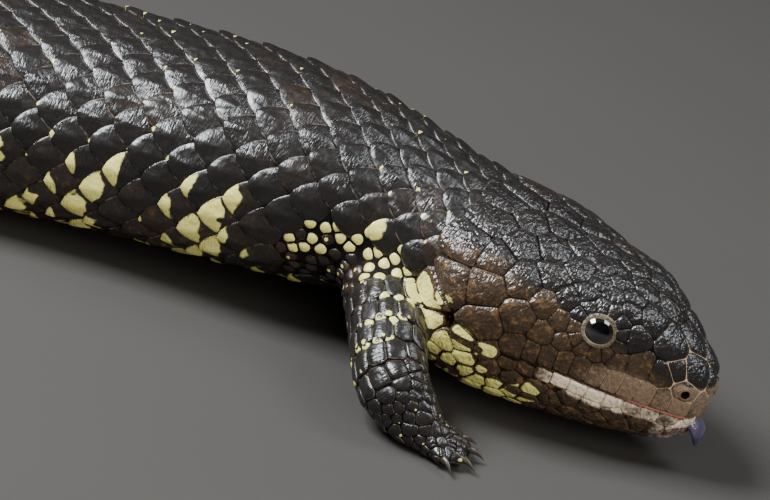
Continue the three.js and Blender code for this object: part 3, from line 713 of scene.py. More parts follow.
def wobble(points, size, seed=0.0):
    """Soft noise from -1 to 1 at points in millimetres."""
    place = points.reshape(-1, 3) / size + seed * np.array([1, 2.3, -1.7])
    whole = np.floor(place).astype(int)
    part = place - whole
    part = part * part * (3 - 2 * part)
    total = np.zeros(len(place))
    for corner in np.ndindex(2, 2, 2):
        i, j, k = ((whole + corner) % NOISE_SIDE).T
        total += np.where(corner, part, 1 - part).prod(axis=1) * NOISE[i, j, k]
    return total


def on_body(points):
    """The place along the spine and the share of the girth, nearest to points."""
    away = np.linalg.norm(points[:, None] - SPINE[None, ::4], axis=2)
    place = np.argmin(away, axis=1) * 4.0
    origin, forward, left, up = spine_frame(np.clip(place, 2, BODY_LENGTH - 2))
    place = np.clip(place - np.einsum("ij,ij->i", points - origin, forward), 0, BODY_LENGTH)
    origin, forward, left, up = spine_frame(place)
    aside = np.einsum("ij,ij->i", points - origin, left)
    above = np.einsum("ij,ij->i", points - origin, up)
    width = np.sqrt(np.maximum(SQUARED[0](place), 1))
    height = np.sqrt(np.maximum(np.where(above > 0, SQUARED[1](place), SQUARED[2](place)), 1))
    share = np.arctan2(np.abs(aside) / width, above / height) / pi
    return place, share * np.sign(aside)


def body_marks(points, place, share):
    """Yellow, brown and cream on the neck, the body and the tail."""
    down = np.abs(share)
    phase = (place + BAND["lean"] * share) / BAND["every"] + BAND["wander"] * wobble(points, *SOFT["band"])
    wave = np.cos(2 * pi * phase) + BAND["ragged"] * wobble(points, *SOFT["ragged"])
    bands = smooth(*BAND["edge"], wave)
    flank = smooth(*FLANK["from"], down + FLANK["wander"] * wobble(points, *SOFT["flank"]))
    belly = smooth(*BELLY["from"], down)
    patches = smooth(*BELLY["patches"], wobble(points, *SOFT["belly"]))
    yellow = np.maximum(flank * bands, belly * patches)
    yellow = yellow * smooth(*LIMB_CLEAR, limb_axis_distance(points))
    brown = WARM["mottle"] * smooth(*WARM["mottled"], wobble(points, *SOFT["brown"]))
    brown = brown + WARM["low"] * smooth(*WARM["from"], down)
    return np.stack([yellow, brown, BELLY["cream"] * belly], 1)


def head_marks(points):
    """Yellow, brown and cream on the head."""
    at, aside, above = in_head(points)
    soft = wobble(points, *SOFT["head"])
    below = mouth_at(at) - above
    brow = HEAD_SIDE_BROWN
    over = above + brow["wander"] * soft - brow["up"] - brow["rise"] * np.minimum(at, brow["until"])
    brown = (1 - smooth(*brow["edge"], over)) * smooth(*brow["back"], at + 2 * soft)
    upper_lip = 1 - smooth(*UPPER_LIP_PALE["up"], above + 2 * soft)
    upper_lip = upper_lip * (1 - smooth(*UPPER_LIP_PALE["back"], at + 4 * soft))
    upper_lip = upper_lip * smooth(*UPPER_LIP_PALE["over_mouth"], -below)
    nose = (1 - smooth(*NOSE_PALE["back"], at)) * (1 - smooth(*NOSE_PALE["up"], above))
    least = NOSE_PALE["least"]
    nose = nose * (least + (1 - least) * smooth(*NOSE_PALE["low"], above))
    fade = smooth(LOWER_LIP_SIZE, LOWER_LIP_SIZE + LOWER_LIP_PALE["fade"], below + soft)
    lower_lip = smooth(*LOWER_LIP_PALE["under_mouth"], below) * (1 - fade)
    lower_lip = lower_lip * (1 - smooth(*LOWER_LIP_PALE["back"], at))
    rise = JOWL["rise"] * np.maximum(at - JOWL["from"], 0)
    jowl = smooth(*JOWL["back"], at) * smooth(*JOWL["edge"], below + soft + rise)
    long, wide, high = STREAKS["stretch"]
    lengthwise = np.stack([at / long, aside / wide, above / high], 1)
    streaks = 0.5 + STREAKS["contrast"] * (wobble(lengthwise, *SOFT["streak"]) + STREAKS["more"])
    nape = smooth(*NAPE["back"], at) * (1 - smooth(*NAPE["up"], above))
    nape = nape * smooth(*NAPE["spots"], wobble(points, *SOFT["nape"]))
    yellow = np.maximum(jowl * streaks, NAPE["share"] * nape)
    upper = UPPER_LIP_PALE["share"] * np.maximum(upper_lip, nose)
    cream = np.maximum(upper, LOWER_LIP_PALE["share"] * lower_lip)
    return np.stack([yellow, brown, cream], 1)


def marks_at(points):
    place, share = on_body(points)
    on_head = 1 - smooth(HEAD_END - HEAD_BLEND, HEAD_END + HEAD_BLEND, place)
    on_head = on_head * smooth(0, LIMB_MARGIN, limb_axis_distance(points))
    on_head = on_head * (1 - smooth(*HEAD_SIDE, np.abs(in_head(points)[1])))
    body = body_marks(points, place, share)
    head = head_marks(points)
    return head * on_head[:, None] + body * (1 - on_head[:, None])


def skin_marks(points):
    """The skin has the shields' markings, with pale seams on the snout."""
    at, _, above = in_head(points)
    marks = marks_at(points)
    marks[:, 0] = 0
    seam = (1 - smooth(*SNOUT_SEAM["back"], at)) * smooth(*SNOUT_SEAM["up"], above)
    marks[:, 2] = np.maximum(marks[:, 2], seam)
    return marks


def paint_marks(mesh, values, edge=0.0):
    """Stores the masks, and in the alpha how near a plate's edge each corner is."""
    layer = mesh.attributes.new("Marks", "FLOAT_COLOR", "POINT")
    rgba = np.ones((len(mesh.vertices), 4))
    rgba[:, :3] = np.clip(values, 0, 1)
    rgba[:, 3] = edge
    layer.data.foreach_set("color", rgba.ravel())


def add_uv(mesh, name, per_vertex):
    """A UV map from one place for each vertex."""
    layer = mesh.uv_layers.new(name=name)
    corners = np.empty(len(mesh.loops), int)
    mesh.loops.foreach_get("vertex_index", corners)
    layer.data.foreach_set("uv", np.ascontiguousarray(per_vertex[corners], float).ravel())


# Solid scales and plates, made all at once from arrays.

# How soon a plate's round core takes its outline, and where across a scale its sides get a painted edge
# highlight.
CORE_BLEND = 0.4
SIDE_HIGHLIGHT_SPAN = (0.1, 0.4)
# The "Lie" map lies along each plate, in steps of a centimetre, at a place of its own.
LIE_SCALE = 0.1
LIE_RANGE = 60
# How wide a plate's top is on its patch of the unwrap, and how much its underside adds.
PATCH_TOP = 0.4
PATCH_UNDER = 0.1
PATCH_FILL = 0.9
SMALL_PATCH = 0.003
GRANULE_PATCH = 0.004
BODY_PATCH = 0.02
HEAD_PATCH = 0.04


class Disc:
    """The corners and faces of one closed plate: rings from its middle to its edge and under."""

    def __init__(self, sides, rings, under):
        self.sides = sides
        self.reach = np.concatenate([[0], np.repeat(rings, sides), np.repeat(under, sides), [0]])
        self.turn = np.concatenate([[0], np.tile(np.arange(sides), len(rings) + len(under)), [0]])
        self.depth = np.concatenate(
            [np.zeros(1 + sides * len(rings)), np.repeat(np.linspace(0.5, 1, len(under)), sides), [1]]
        )
        count = len(rings) + len(under)
        ring = np.arange(sides)
        after = (ring + 1) % sides
        quads = []
        for k in range(count - 1):
            a, b = 1 + k * sides, 1 + (k + 1) * sides
            quads.append(np.stack([a + ring, b + ring, b + after, a + after], 1))
        self.quads = np.concatenate(quads)
        last = 1 + (count - 1) * sides
        end = 1 + count * sides
        self.fans = np.concatenate(
            [
                np.stack([np.zeros(sides, int), 1 + ring, 1 + after], 1),
                np.stack([np.full(sides, end), last + after, last + ring], 1),
            ]
        )
        self.size = end + 1


class Seeds:
    """Where scales sit: place, surface normal, the way they point, and their sizes."""

    def __init__(self, place, normal, lie, chart, patch=SMALL_PATCH):
        self.place = np.array(place, float).reshape(-1, 3)
        self.normal = unit(np.array(normal, float).reshape(-1, 3))
        lie = np.array(lie, float).reshape(-1, 3)
        lie = lie - self.normal * np.einsum("ij,ij->i", lie, self.normal)[:, None]
        self.lie = unit(lie)
        self.across = np.cross(self.normal, self.lie)
        self.chart = np.array(chart, float).reshape(-1, 2)
        self.patch = np.full(len(self.place), patch)

    def __len__(self):
        return len(self.place)


def nearest(tree, points):
    """The nearest places on a surface, and its normals there."""
    found = [tree.find_nearest(Vector(point)) for point in points]
    return np.array([hit[0] for hit in found]), np.array([hit[1] for hit in found])


def raise_plates(name, seeds, disc, outline, lift, marks, tree, core=0.0, side_highlight=0.0):
    """Joined solid plates on the skin.

    outline holds one radius for each seed and side. lift takes local places (lengthwise,
    across, reach) as shares and gives heights over the skin. marks takes points and the same.
    Rings inside the core's share of a plate are round. The last argument is how far only the sides of
    a plate, and not its rear end, are painted pale as a highlight.
    """
    count = len(seeds)
    angle = around(disc.sides)[disc.turn]
    shaped = smooth(core, core + CORE_BLEND, disc.reach) if core else 1.0
    round_one = outline.min(axis=1)[:, None]
    radius = (round_one + (outline[:, disc.turn] - round_one) * shaped) * disc.reach
    along = radius * np.cos(angle)
    aside = radius * np.sin(angle)
    flat = (
        seeds.place[:, None]
        + seeds.lie[:, None] * along[..., None]
        + seeds.across[:, None] * aside[..., None]
    )
    on_skin, normal = nearest(tree, flat.reshape(-1, 3))
    on_skin = on_skin.reshape(count, disc.size, 3)
    normal = unit(normal.reshape(count, disc.size, 3) + seeds.normal[:, None])
    size = outline.max(axis=1)[:, None]
    b, a = along / size, aside / size
    reach = np.broadcast_to(disc.reach, b.shape)
    height = lift(b, a, reach, np.broadcast_to(disc.depth, b.shape))
    points = on_skin + normal * height[..., None]
    points[..., 2] = np.maximum(points[..., 2], FLOOR_GAP)
    mesh = bpy.data.meshes.new(name)
    start = (np.arange(count) * disc.size)[:, None, None]
    quads = (disc.quads[None] + start).reshape(-1, 4)
    fans = (disc.fans[None] + start).reshape(-1, 3)
    mesh.vertices.add(count * disc.size)
    mesh.vertices.foreach_set("co", (points * MM).ravel())
    mesh.loops.add(quads.size + fans.size)
    mesh.loops.foreach_set("vertex_index", np.concatenate([quads.ravel(), fans.ravel()]))
    mesh.polygons.add(len(quads) + len(fans))
    starts = np.concatenate([np.arange(len(quads)) * 4, quads.size + np.arange(len(fans)) * 3])
    mesh.polygons.foreach_set("loop_start", starts)
    mesh.update(calc_edges=True)
    mesh.validate()
    # The alpha holds where a plate's edge gets a painted highlight.
    highlight_mask = np.where(disc.depth > 0, 0, reach)
    highlight_mask = highlight_mask * (1 - side_highlight + side_highlight * smooth(*SIDE_HIGHLIGHT_SPAN, np.abs(a)))
    paint_marks(mesh, marks(points, b, a, reach).reshape(-1, 3), highlight_mask.ravel())
    rng = np.random.default_rng(len(name))
    offset = rng.uniform(0, LIE_RANGE, (count, 1, 2))
    local = np.stack([along, aside], -1) + offset
    add_uv(mesh, "Lie", local.reshape(-1, 2) * LIE_SCALE)
    spread = np.where(disc.depth > 0, PATCH_TOP + PATCH_UNDER * disc.depth, PATCH_TOP * disc.reach)
    spread = np.where(disc.reach > 0, spread, 0)
    rays = np.stack([np.cos(angle), np.sin(angle)], 1) * spread[:, None]
    patches = seeds.chart[:, None] + rays[None] * seeds.patch[:, None, None]
    add_uv(mesh, "OFBake", patches.reshape(-1, 2))
    return add_piece(name, mesh)


def shingle_outline(sides, length_back, length_front, half_width, squareness):
    """Radii of a rounded diamond that points back, for arrays of sizes."""
    angle = around(sides)
    c, s = np.cos(angle)[None], np.sin(angle)[None]
    length = np.where(c > 0, length_back[:, None], length_front[:, None])
    p = squareness[:, None]
    return (np.abs(c / length) ** p + np.abs(s / half_width[:, None]) ** p) ** (-1 / p)


# Cells: how much more a larger plate takes, how sharp corners are, how many sizes away neighbours
# count, and the least and most that a plate reaches.
CELL = {"weight": 0.2, "softness": 50, "neighbours": 3.2, "least": 0.2, "most": 0.9, "facing": 1e-3}
CELL_RIM = {"high": 0.15, "drop": 0.14, "from": 0.88}
UNDER = 0.9


def cell_outline(seeds, sides, size, group, gap, walls=None):
    """Radii of plates that share out a surface, of which larger ones take more."""
    angle = around(sides)
    rays = (
        seeds.lie[:, None] * np.cos(angle)[None, :, None]
        + seeds.across[:, None] * np.sin(angle)[None, :, None]
    )
    result = np.empty((len(seeds), sides))
    for i in range(len(seeds)):
        away = seeds.place - seeds.place[i]
        distance = np.linalg.norm(away, axis=1)
        near = (distance > 0.01) & (distance < CELL["neighbours"] * size[i]) & (group[i] & group != 0)
        toward = away[near] / distance[near][:, None]
        more = CELL["weight"] * (size[i] ** 2 - size[near] ** 2)
        edge = (distance[near] + more / distance[near]) / 2
        edge = np.maximum(edge, CELL["least"] * distance[near]) - gap / 2
        for wall in walls[i] if walls else ():
            toward = np.vstack([toward, unit(wall)[None]])
            edge = np.append(edge, np.linalg.norm(wall) - gap / 2)
        facing = np.maximum(rays[i] @ toward.T, CELL["facing"])
        ends = edge[None] / facing
        ends = np.concatenate([ends, np.full((sides, 1), CELL["most"] * size[i])], axis=1)
        result[i] = (ends ** -CELL["softness"]).sum(axis=1) ** (-1 / CELL["softness"])
    return result


def cell_lift(height, dome, tilt, under=UNDER):
    """Heights of plates that lie side by side, with a soft rim and a raised rear end."""

    def lift(b, a, reach, depth):
        top = height * (dome * (1 - reach**3) + tilt * (0.5 * b + 0.4))
        top = top + CELL_RIM["high"] - CELL_RIM["drop"] * smooth(CELL_RIM["from"], 1, reach)
        return np.where(depth > 0, top * (1 - depth) - under * depth, top)

    return lift


# The skin.


def skin_point(place, angle):
    """The skin: under the model's own surface, with a fold behind the jaws."""
    down = np.abs((pi / 2 - np.asarray(angle) + pi) % (2 * pi) - pi) / pi
    beside = smooth(NECK_FOLD["from"], NECK_FOLD["from"] + NECK_FOLD["soft"], down)
    beside = beside * (1 - smooth(NECK_FOLD["to"] - NECK_FOLD["soft"], NECK_FOLD["to"], down))
    fold = NECK_FOLD["deep"] * beside * np.exp(-(((place - NECK_FOLD["at"]) / NECK_FOLD["wide"]) ** 2))
    return body_point(place, angle, -(skin_depth(place) + fold) * smooth(0, SNOUT_TAPER, place))


def body_shape(share, angle):
    return skin_point(ring_at(share), angle)


def distance_to_line(points, start, end):
    way = end - start
    t = np.clip((points - start) @ way / (way @ way), 0, 1)
    return np.linalg.norm(points - start - t[:, None] * way, axis=1)


def tree_of(piece):
    """A search tree over a mesh, in millimetres."""
    corners = [Vector(point) / MM for point in coordinates(piece.data)]
    return BVHTree.FromPolygons(corners, [tuple(face.vertices) for face in piece.data.polygons])


def weigh(piece, name, weights):
    group = piece.vertex_groups.new(name=name)
    for index in np.flatnonzero(weights > 0.01):
        group.add([int(index)], float(weights[index]), "REPLACE")
    return name


TRUNK_SEGMENTS, TRUNK_RINGS = 120, 260
LIMB_SEGMENTS, LIMB_RINGS = 32, 48
# Where the skin is smoothed most: beside an upper leg, near the body, and round the wrist.
FILLET = {"beside": (9, 17), "off_body": (2.5, 7), "wrist": (5, 9), "wrist_share": 0.5}
SMOOTHING = 0.5


def fuse_flesh(voxel):
    """The body, legs, feet and digits as one closed surface, with soft roots at the legs."""
    trunk = shaped_sphere("trunk", TRUNK_SEGMENTS, TRUNK_RINGS, body_shape)
    trunk_tree = tree_of(trunk)
    parts = [trunk]
    for name, limb in LIMBS.items():
        tubes = [limb_tube(limb), palm_tube(limb)] + [digit_tube(limb, digit) for digit in DIGITS]
        for number, tube in enumerate(tubes):
            piece = shaped_sphere(f"{name}_{number}", LIMB_SEGMENTS, LIMB_RINGS, tube.point)
            parts.append(piece)
    skin = join(parts, "skin")
    modify(skin, "REMESH", mode="VOXEL", voxel_size=voxel * MM)
    points = coordinates(skin.data) / MM
    near = np.zeros(len(points))
    for limb in LIMBS.values():
        (root, bend, wrist), _ = limb_joints(limb)
        beside = 1 - smooth(*FILLET["beside"], distance_to_line(points, root, bend))
        picked = np.flatnonzero(beside > 0)
        away = np.array([trunk_tree.find_nearest(Vector(points[i]))[3] for i in picked])
        beside = beside[picked] * (1 - smooth(*FILLET["off_body"], away))
        near[picked] = np.maximum(near[picked], beside)
        from_wrist = far(points, wrist)
        near = np.maximum(near, FILLET["wrist_share"] * (1 - smooth(*FILLET["wrist"], from_wrist)))
    fillet = weigh(skin, "fillet", near)
    modify(skin, "SMOOTH", factor=SMOOTHING, iterations=3)
    modify(skin, "SMOOTH", factor=SMOOTHING, iterations=24, vertex_group=fillet)
    return skin


def refine_head(skin):
    """Divides the head's faces once, so that its folds can be finer."""
    make_active(skin)
    at = in_head(coordinates(skin.data) / MM)[0]
    skin.data.vertices.foreach_set("select", at < HEAD_END)
    bpy.ops.object.mode_set(mode="EDIT")
    bpy.ops.mesh.select_mode(type="VERT")
    bpy.ops.mesh.subdivide(number_cuts=1)
    bpy.ops.object.mode_set(mode="OBJECT")
    modify(skin, "SMOOTH", factor=SMOOTHING, iterations=2)
    points = coordinates(skin.data) / MM
    normals = np.array([vertex.normal for vertex in skin.data.vertices])
    for at, aside, above, wide, high in SWELLS:
        for side in (1, -1):
            away = far(points, head_point(at, side * aside, above))
            points = points + normals * (high * np.exp(-((away / wide) ** 2)))[:, None]
    set_coordinates(skin.data, points * MM)


def carve_head(skin):
    """Opens the mouth line, the eye sockets, the nostrils and the ears in the skin."""
    points = coordinates(skin.data) / MM
    normals = np.array([vertex.normal for vertex in skin.data.vertices])
    at, _, above = in_head(points)
    _, forward, left, up = HEAD_FRAME
    from_line = above - mouth_at(at)
    slit = 1 - np.clip(np.abs(from_line + SLIT["below"]) / SLIT["half"], 0, 1) ** 2
    slit = slit * (1 - smooth(MOUTH_END - 6, MOUTH_END + 2, at))
    deep = SLIT["deep"] + SLIT["deeper"] * (1 - smooth(*SLIT["front"], at))
    points = points - normals * (slit * deep)[:, None]
    chin = smooth(0.2, 1.2, -from_line) * CHIN["back"]
    chin = chin * (1 - np.clip(at / CHIN["long"], 0, 1)) ** CHIN["curve"]
    points = points - forward * np.where(above > CHIN["lowest"], chin, 0)[:, None]
    for side in (1, -1):
        centre, _ = eye_place(side)
        away = points - centre
        distance = np.linalg.norm(away, axis=1)
        inside = 1 - smooth(EYE["radius"] + SOCKET["from"], EYE["radius"] + SOCKET["to"], distance)
        sunk = centre + unit(away) * (EYE["radius"] - SOCKET["behind"])
        points = points * (1 - inside[:, None]) + sunk * inside[:, None]
        hollow = 1 - smooth(*NOSTRIL["wide"], far(points, nostril_place(side)))
        points = points - normals * (hollow * NOSTRIL["deep"])[:, None]
        off = points - ear_place(side)
        share = np.hypot(off @ forward / EAR["long"], off @ up / EAR["tall"])
        hollow = (1 - smooth(0.5, 1.15, share)) * (np.abs(off @ left) < 6)
        points = points - left * (side * hollow * EAR["deep"])[:, None]
    points[:, 2] = np.maximum(points[:, 2], FLOOR_GAP)
    set_coordinates(skin.data, points * MM)


# Places for scales and plates.


# How near two points may come, as a share of both their spacings together.
CLOSENESS = 0.42


def scatter(points, spacing, fixed, rng, rounds=5):
    """Evenly spread points, chosen among many, after the fixed ones. Each has its own spacing."""
    chosen = [np.array(place) for place, _ in fixed]
    sizes = [size for _, size in fixed]
    for i in rng.permutation(len(points)):
        if chosen:
            away = far(np.array(chosen), points[i])
            if (away < (np.array(sizes) + spacing[i]) * CLOSENESS).any():
                continue
        chosen.append(points[i])
        sizes.append(spacing[i])
    chosen, sizes = np.array(chosen), np.array(sizes)
    for _ in range(rounds):
        away = np.linalg.norm(points[:, None] - chosen[None], axis=2) / sizes
        owner = np.argmin(away, axis=1)
        for k in range(len(fixed), len(chosen)):
            mine = points[owner == k]
            if len(mine):
                middle = mine.mean(axis=0)
                chosen[k] = mine[np.argmin(far(mine, middle))]
    return chosen, sizes


PERIOD_AT = (58, 70, 90, 125, 200, 250, 300, 330)
row_period = curve(PERIOD_AT, (7.4, 8.2, 9.2, 10.4, 10.6, 9.8, 8.4, 5.0))
FIRST_ROW = 61
LAST_ROW = 328
# How many columns lie on each side of the back's middle, up to a place on the spine.
COLUMNS_UNTIL = ((205, 9), (TAIL_AT, 8), (BODY_LENGTH, 7))
COLUMN_MIDDLE = 1.12
COLUMN_NARROWING = 0.12


def column_share(c):
    """Columns are wider on the back than below."""
    return c * (COLUMN_MIDDLE - COLUMN_NARROWING * c * c)


def body_lattice():
    """Rows of scales across the body: place, share of the girth, period and width of each."""
    found = []
    place = FIRST_ROW
    row = 0
    while place < LAST_ROW:
        columns = next(count for until, count in COLUMNS_UNTIL if place < until)
        table = girth_table(place)
        start = -columns + (1 if row % 2 == 0 else 0.5)
        period = float(row_period(place))
        for column in np.arange(start, columns + 0.01, 1.0):
            x = column / columns
            share = float(np.clip(column_share(abs(x)) * np.sign(x), -1, 1))
            width = (COLUMN_MIDDLE - 3 * COLUMN_NARROWING * x * x) * table[-1] / columns
            found.append((place, share, period, width, float(girth_angle(table, share))))
        place += period / 2
        row += 1
    return np.array(found)


def limb_axis_distance(points):
    """How far outside each limb's own radius points are, for the nearest limb."""
    result = np.full(len(points), np.inf)
    for limb in LIMBS.values():
        (root, bend, wrist), _ = limb_joints(limb)
        upper = distance_to_line(points, root, bend) - limb["radii"][1]
        lower = distance_to_line(points, bend, wrist) - limb["radii"][2]
        result = np.minimum(result, np.minimum(upper, lower))
    return result


# The fewest scales in a row round a limb, and how far a tube may lie from the skin where one sits.
LEAST_COLUMNS = 5
OFF_LIMB = 0.9


def tube_lattice(tube, tree, first, last, period, wide):
    """Rows of scales along a limb: places, ways, chart shares, on the skin and not inside it."""
    path = smooth_path(tube.path, np.linspace(0, 1, 40))
    length = np.linalg.norm(np.diff(path, axis=0), axis=1).sum()
    found = []
    along, row = first, 0
    while along < last:
        share = Tube.CAP + (1 - 2 * Tube.CAP) * along
        girth = pi * float(tube.wide(along) + tube.tall(along))
        columns = max(LEAST_COLUMNS, round(girth / wide))
        for k in range(columns):
            angle = 2 * pi * (k + 0.5 * (row % 2)) / columns
            found.append((share, angle, along, angle / (2 * pi)))
        along += period / 2 / length
        row += 1
    found = np.array(found)
    points = tube.point(found[:, 0], found[:, 1])
    forward = tube.frame(found[:, 2])[1]
    on_skin, normal = nearest(tree, points)
    seen = far(on_skin, points) < OFF_LIMB
    return on_skin[seen], normal[seen], forward[seen], found[seen][:, 2:]


def settle_patches(seeds, widest=BODY_PATCH):
    """Gives each scale a patch of the unwrap as wide as its own place there."""
    away = np.linalg.norm(seeds.chart[:, None] - seeds.chart[None], axis=2)
    np.fill_diagonal(away, widest)
    seeds.patch = np.minimum(away.min(axis=1) * PATCH_FILL, widest)
    return seeds


# The unwrap: the body below, the head above on the left, and a strip for each limb on the right.
# Each has its start and width along the animal, then its middle or start and its reach around it.
BODY_CHART = (0.01, 0.98, 0.26, 0.24)
HEAD_CHART = (0.02, 0.46, 0.76, 0.22)
HEAD_CHART_LENGTH = HEAD_END + 6
LIMB_CHART = ((0.52, 0.21), (0.74, 0.055), (0.80, 0.18))
LIMB_STRIP = {"start": 0.54, "every": 0.11, "wide": 0.1}


def body_chart(place, share):
    start, length, middle, reach = BODY_CHART
    return np.stack([start + length * place / BODY_LENGTH, middle + reach * share], -1)


def head_chart(points):
    place, share = on_body(points)
    start, length, middle, reach = HEAD_CHART
    return np.stack([start + length * place / HEAD_CHART_LENGTH, middle + reach * share], -1)


def limb_chart(number, part, along, turn):
    """Each limb has a strip of the unwrap: its leg, its palm and its digits in turn."""
    start, length = LIMB_CHART[part]
    strip = LIMB_STRIP["start"] + LIMB_STRIP["every"] * number
    return np.stack([start + length * along, strip + LIMB_STRIP["wide"] * turn], -1)


# Scales on the body, the legs and the feet.

NECK_END = 96
BACK_SHARE = 0.42
# Small round scales beside the neck, as shares of half the girth: from where, how much lower
# that gets toward the rear, and down to where.
FINE = {"from": 0.43, "lower": 0.08, "rear": (78, 92), "to": 0.74}
CLEAR_OF_LIMB = 2.2
OFF_BODY = 1.6
SHINGLE_RINGS = (0.3, 0.55, 0.74, 0.87, 0.95, 1.0)
SHINGLE_UNDER = (0.97, 0.9)
# A scale's outline: 1 is a diamond and 2 an oval. It is blunter below and on the neck.
SQUARE = {"back": 1.5, "low": 0.45, "from": (0.5, 0.9), "neck": 0.2, "neck_to": (62, 80)}
SCALE_VARIES = (0.96, 1.04)
FRONT_OVERLAP = 0.08
FULL_SIZE = 10
FLATTER = {"share": 0.45, "from": (0.6, 0.95)}
KEEL = {"wide": 0.13, "from": (-0.7, 0.2)}
RIM_FROM = 0.8
# Yellow on a scale, in shares of its size: how far it reaches from near the rear end, on how many
# scales, and the specks on the tips of dark ones.
BLOT = {"reach": (0.25, 0.7), "chance": 0.85, "rear": 0.8, "sharp": 1.5, "uneven": 0.22, "aside": 0.25}
TIP = {"reach": (0.05, 0.15), "chance": 0.35, "rear": 0.9, "sharp": 3}
# How much the painted edge highlight of body scales is kept to their sides, and off their rear ends.
BODY_SIDE_HIGHLIGHT = 0.7


def pick(seeds, extra, keep):
    """The seeds at which keep is true, with their further numbers."""
    chosen = Seeds(seeds.place[keep], seeds.normal[keep], seeds.lie[keep], seeds.chart[keep])
    chosen.patch = seeds.patch[keep]
    return chosen, [values[keep] for values in extra]


def fine_scaled(place, share):
    """Where scales are small and round: beside the neck, down to the forelegs."""
    down = np.abs(share)
    from_here = FINE["from"] + FINE["lower"] * smooth(*FINE["rear"], place)
    return (place < NECK_END) & (down > from_here) & (down < FINE["to"])


def body_seeds(tree):
    place, share, period, width, angle = body_lattice().T
    points = skin_point(place, angle)
    clear = limb_axis_distance(points) > CLEAR_OF_LIMB
    clear &= ~fine_scaled(place, share)
    on_skin, normal = nearest(tree, points)
    clear &= far(on_skin, points) < OFF_BODY
    seeds = settle_patches(Seeds(on_skin, normal, -direction_at(place), body_chart(place, share)))
    return pick(seeds, [place, share, period, width], clear)


def shingle_lift(size, scale):
    """Heights over the skin of a scale that points back: its front lies under the one ahead."""
    size = np.asarray(size, float)[:, None]

    def lift(b, a, reach, depth):
        slope = scale.front + (scale.rear - scale.front) * (b + 1) / 2
        crown = scale.crown * (1 - reach**2)
        keel = scale.keel * np.exp(-((a / KEEL["wide"]) ** 2)) * smooth(*KEEL["from"], b)
        rim = scale.rounding * smooth(RIM_FROM, 1.0, reach)
        top = slope + crown + keel - rim
        return size * np.where(depth > 0, top * (1 - depth) + scale.under * depth, top)

    return lift


def with_rest(yellow, whole):
    """Yellow as given at each corner, with the brown and cream of the whole scale."""
    rest = [np.broadcast_to(whole[:, None, k], yellow.shape) for k in (1, 2)]
    return np.stack([yellow, *rest], -1)


def shingle_marks(seeds, whole, rng):
    """Yellow only on the rear of each scale, and on the very tip of some dark ones."""
    count = len(seeds)
    tip = (rng.random(count) < TIP["chance"])[:, None] * rng.uniform(*TIP["reach"], count)[:, None]
    blot = rng.uniform(*BLOT["reach"], count)[:, None] * (rng.random(count) < BLOT["chance"])[:, None]
    shift = rng.uniform(-BLOT["aside"], BLOT["aside"], count)[:, None]

    def marks(points, b, a, reach):
        middle = np.hypot(b - BLOT["rear"], 0.8 * (a - shift))
        uneven = wobble(points.reshape(-1, 3), *SOFT["blot"]).reshape(b.shape)
        rear = np.clip(0.5 + BLOT["sharp"] * (blot - middle + BLOT["uneven"] * uneven), 0, 1)
        from_tip = np.hypot(b - TIP["rear"], a - 0.3 * shift)
        spot = np.where(tip > 0, 0.5 + TIP["sharp"] * (tip - from_tip), 0)
        return with_rest(np.maximum(whole[:, None, 0] * rear, spot), whole)

    return marks


def body_scales(tree, scale):
    seeds, (place, share, period, width) = body_seeds(tree)
    rng = np.random.default_rng(3)
    down = np.abs(share)
    regions = {
        "neck_scales": place < NECK_END,
        "back_scales": (place >= NECK_END) & (place < TAIL_AT) & (down < BACK_SHARE),
        "flank_scales": (place >= NECK_END) & (place < TAIL_AT) & (down >= BACK_SHARE),
        "tail_scales": place >= TAIL_AT,
    }
    pieces = []
    for name, keep in regions.items():
        own, (at, aside, long, wide) = pick(seeds, [place, down, period, width], keep)
        squareness = SQUARE["back"] + SQUARE["low"] * smooth(*SQUARE["from"], aside)
        squareness = squareness + SQUARE["neck"] * (1 - smooth(*SQUARE["neck_to"], at))
        vary = rng.uniform(*SCALE_VARIES, len(own))
        outline = shingle_outline(
            scale.sides,
            long * scale.overlap * vary,
            long * (scale.overlap + FRONT_OVERLAP),
            wide * scale.breadth,
            squareness,
        )
        flatter = 1 - FLATTER["share"] * smooth(*FLATTER["from"], aside)
        height = np.minimum(long, wide) / FULL_SIZE * flatter * vary
        disc = Disc(scale.sides, SHINGLE_RINGS, SHINGLE_UNDER)
        lift = shingle_lift(height, scale)
        marks = shingle_marks(own, marks_at(own.place), rng)
        pieces.append(raise_plates(name, own, disc, outline, lift, marks, tree, side_highlight=BODY_SIDE_HIGHLIGHT))
    return pieces, list(zip(seeds.place, CLOSENESS * np.minimum(period, width)))


LEG_BACK = {"facing": (0.75, 0.9), "chance": 0.7}
SHOULDER = {"share": 0.4, "up": 8, "near": (4.5, 7), "chance": 0.4}
LEG_BROWN = 0.1
LEG_TIP = {"reach": (0.1, 0.25), "chance": 0.3}
LEG_SIDES = 16
LEG_RINGS = (0.35, 0.65, 0.84, 0.94, 1.0)
LEG_DOME = 0.4
LEG_TILT = 0.5
LEG, PALM_PART, DIGIT_PART = 0, 1, 2
# Where the scales of a leg, a palm and a digit start and end along it.
SCALED = ((0.2, 1.0), (0.05, 0.95), (0.1, 0.95))


def leg_marks(limb, place, normal, part, rng):
    """Yellow down the back edge of each leg and on its shoulder."""
    (root, bend, _), ahead = limb_joints(limb)
    behind = smooth(*LEG_BACK["facing"], normal @ -ahead) * (rng.random(len(place)) < LEG_BACK["chance"])
    shoulder = root + (bend - root) * SHOULDER["share"] + np.array([0, 0, SHOULDER["up"]])
    near = 1 - smooth(*SHOULDER["near"], far(place, shoulder))
    near = near * (rng.random(len(place)) < SHOULDER["chance"])
    yellow = np.maximum(behind, near) * (part == LEG)
    none = np.zeros(len(place))
    return np.stack([yellow, none + LEG_BROWN, none], 1)


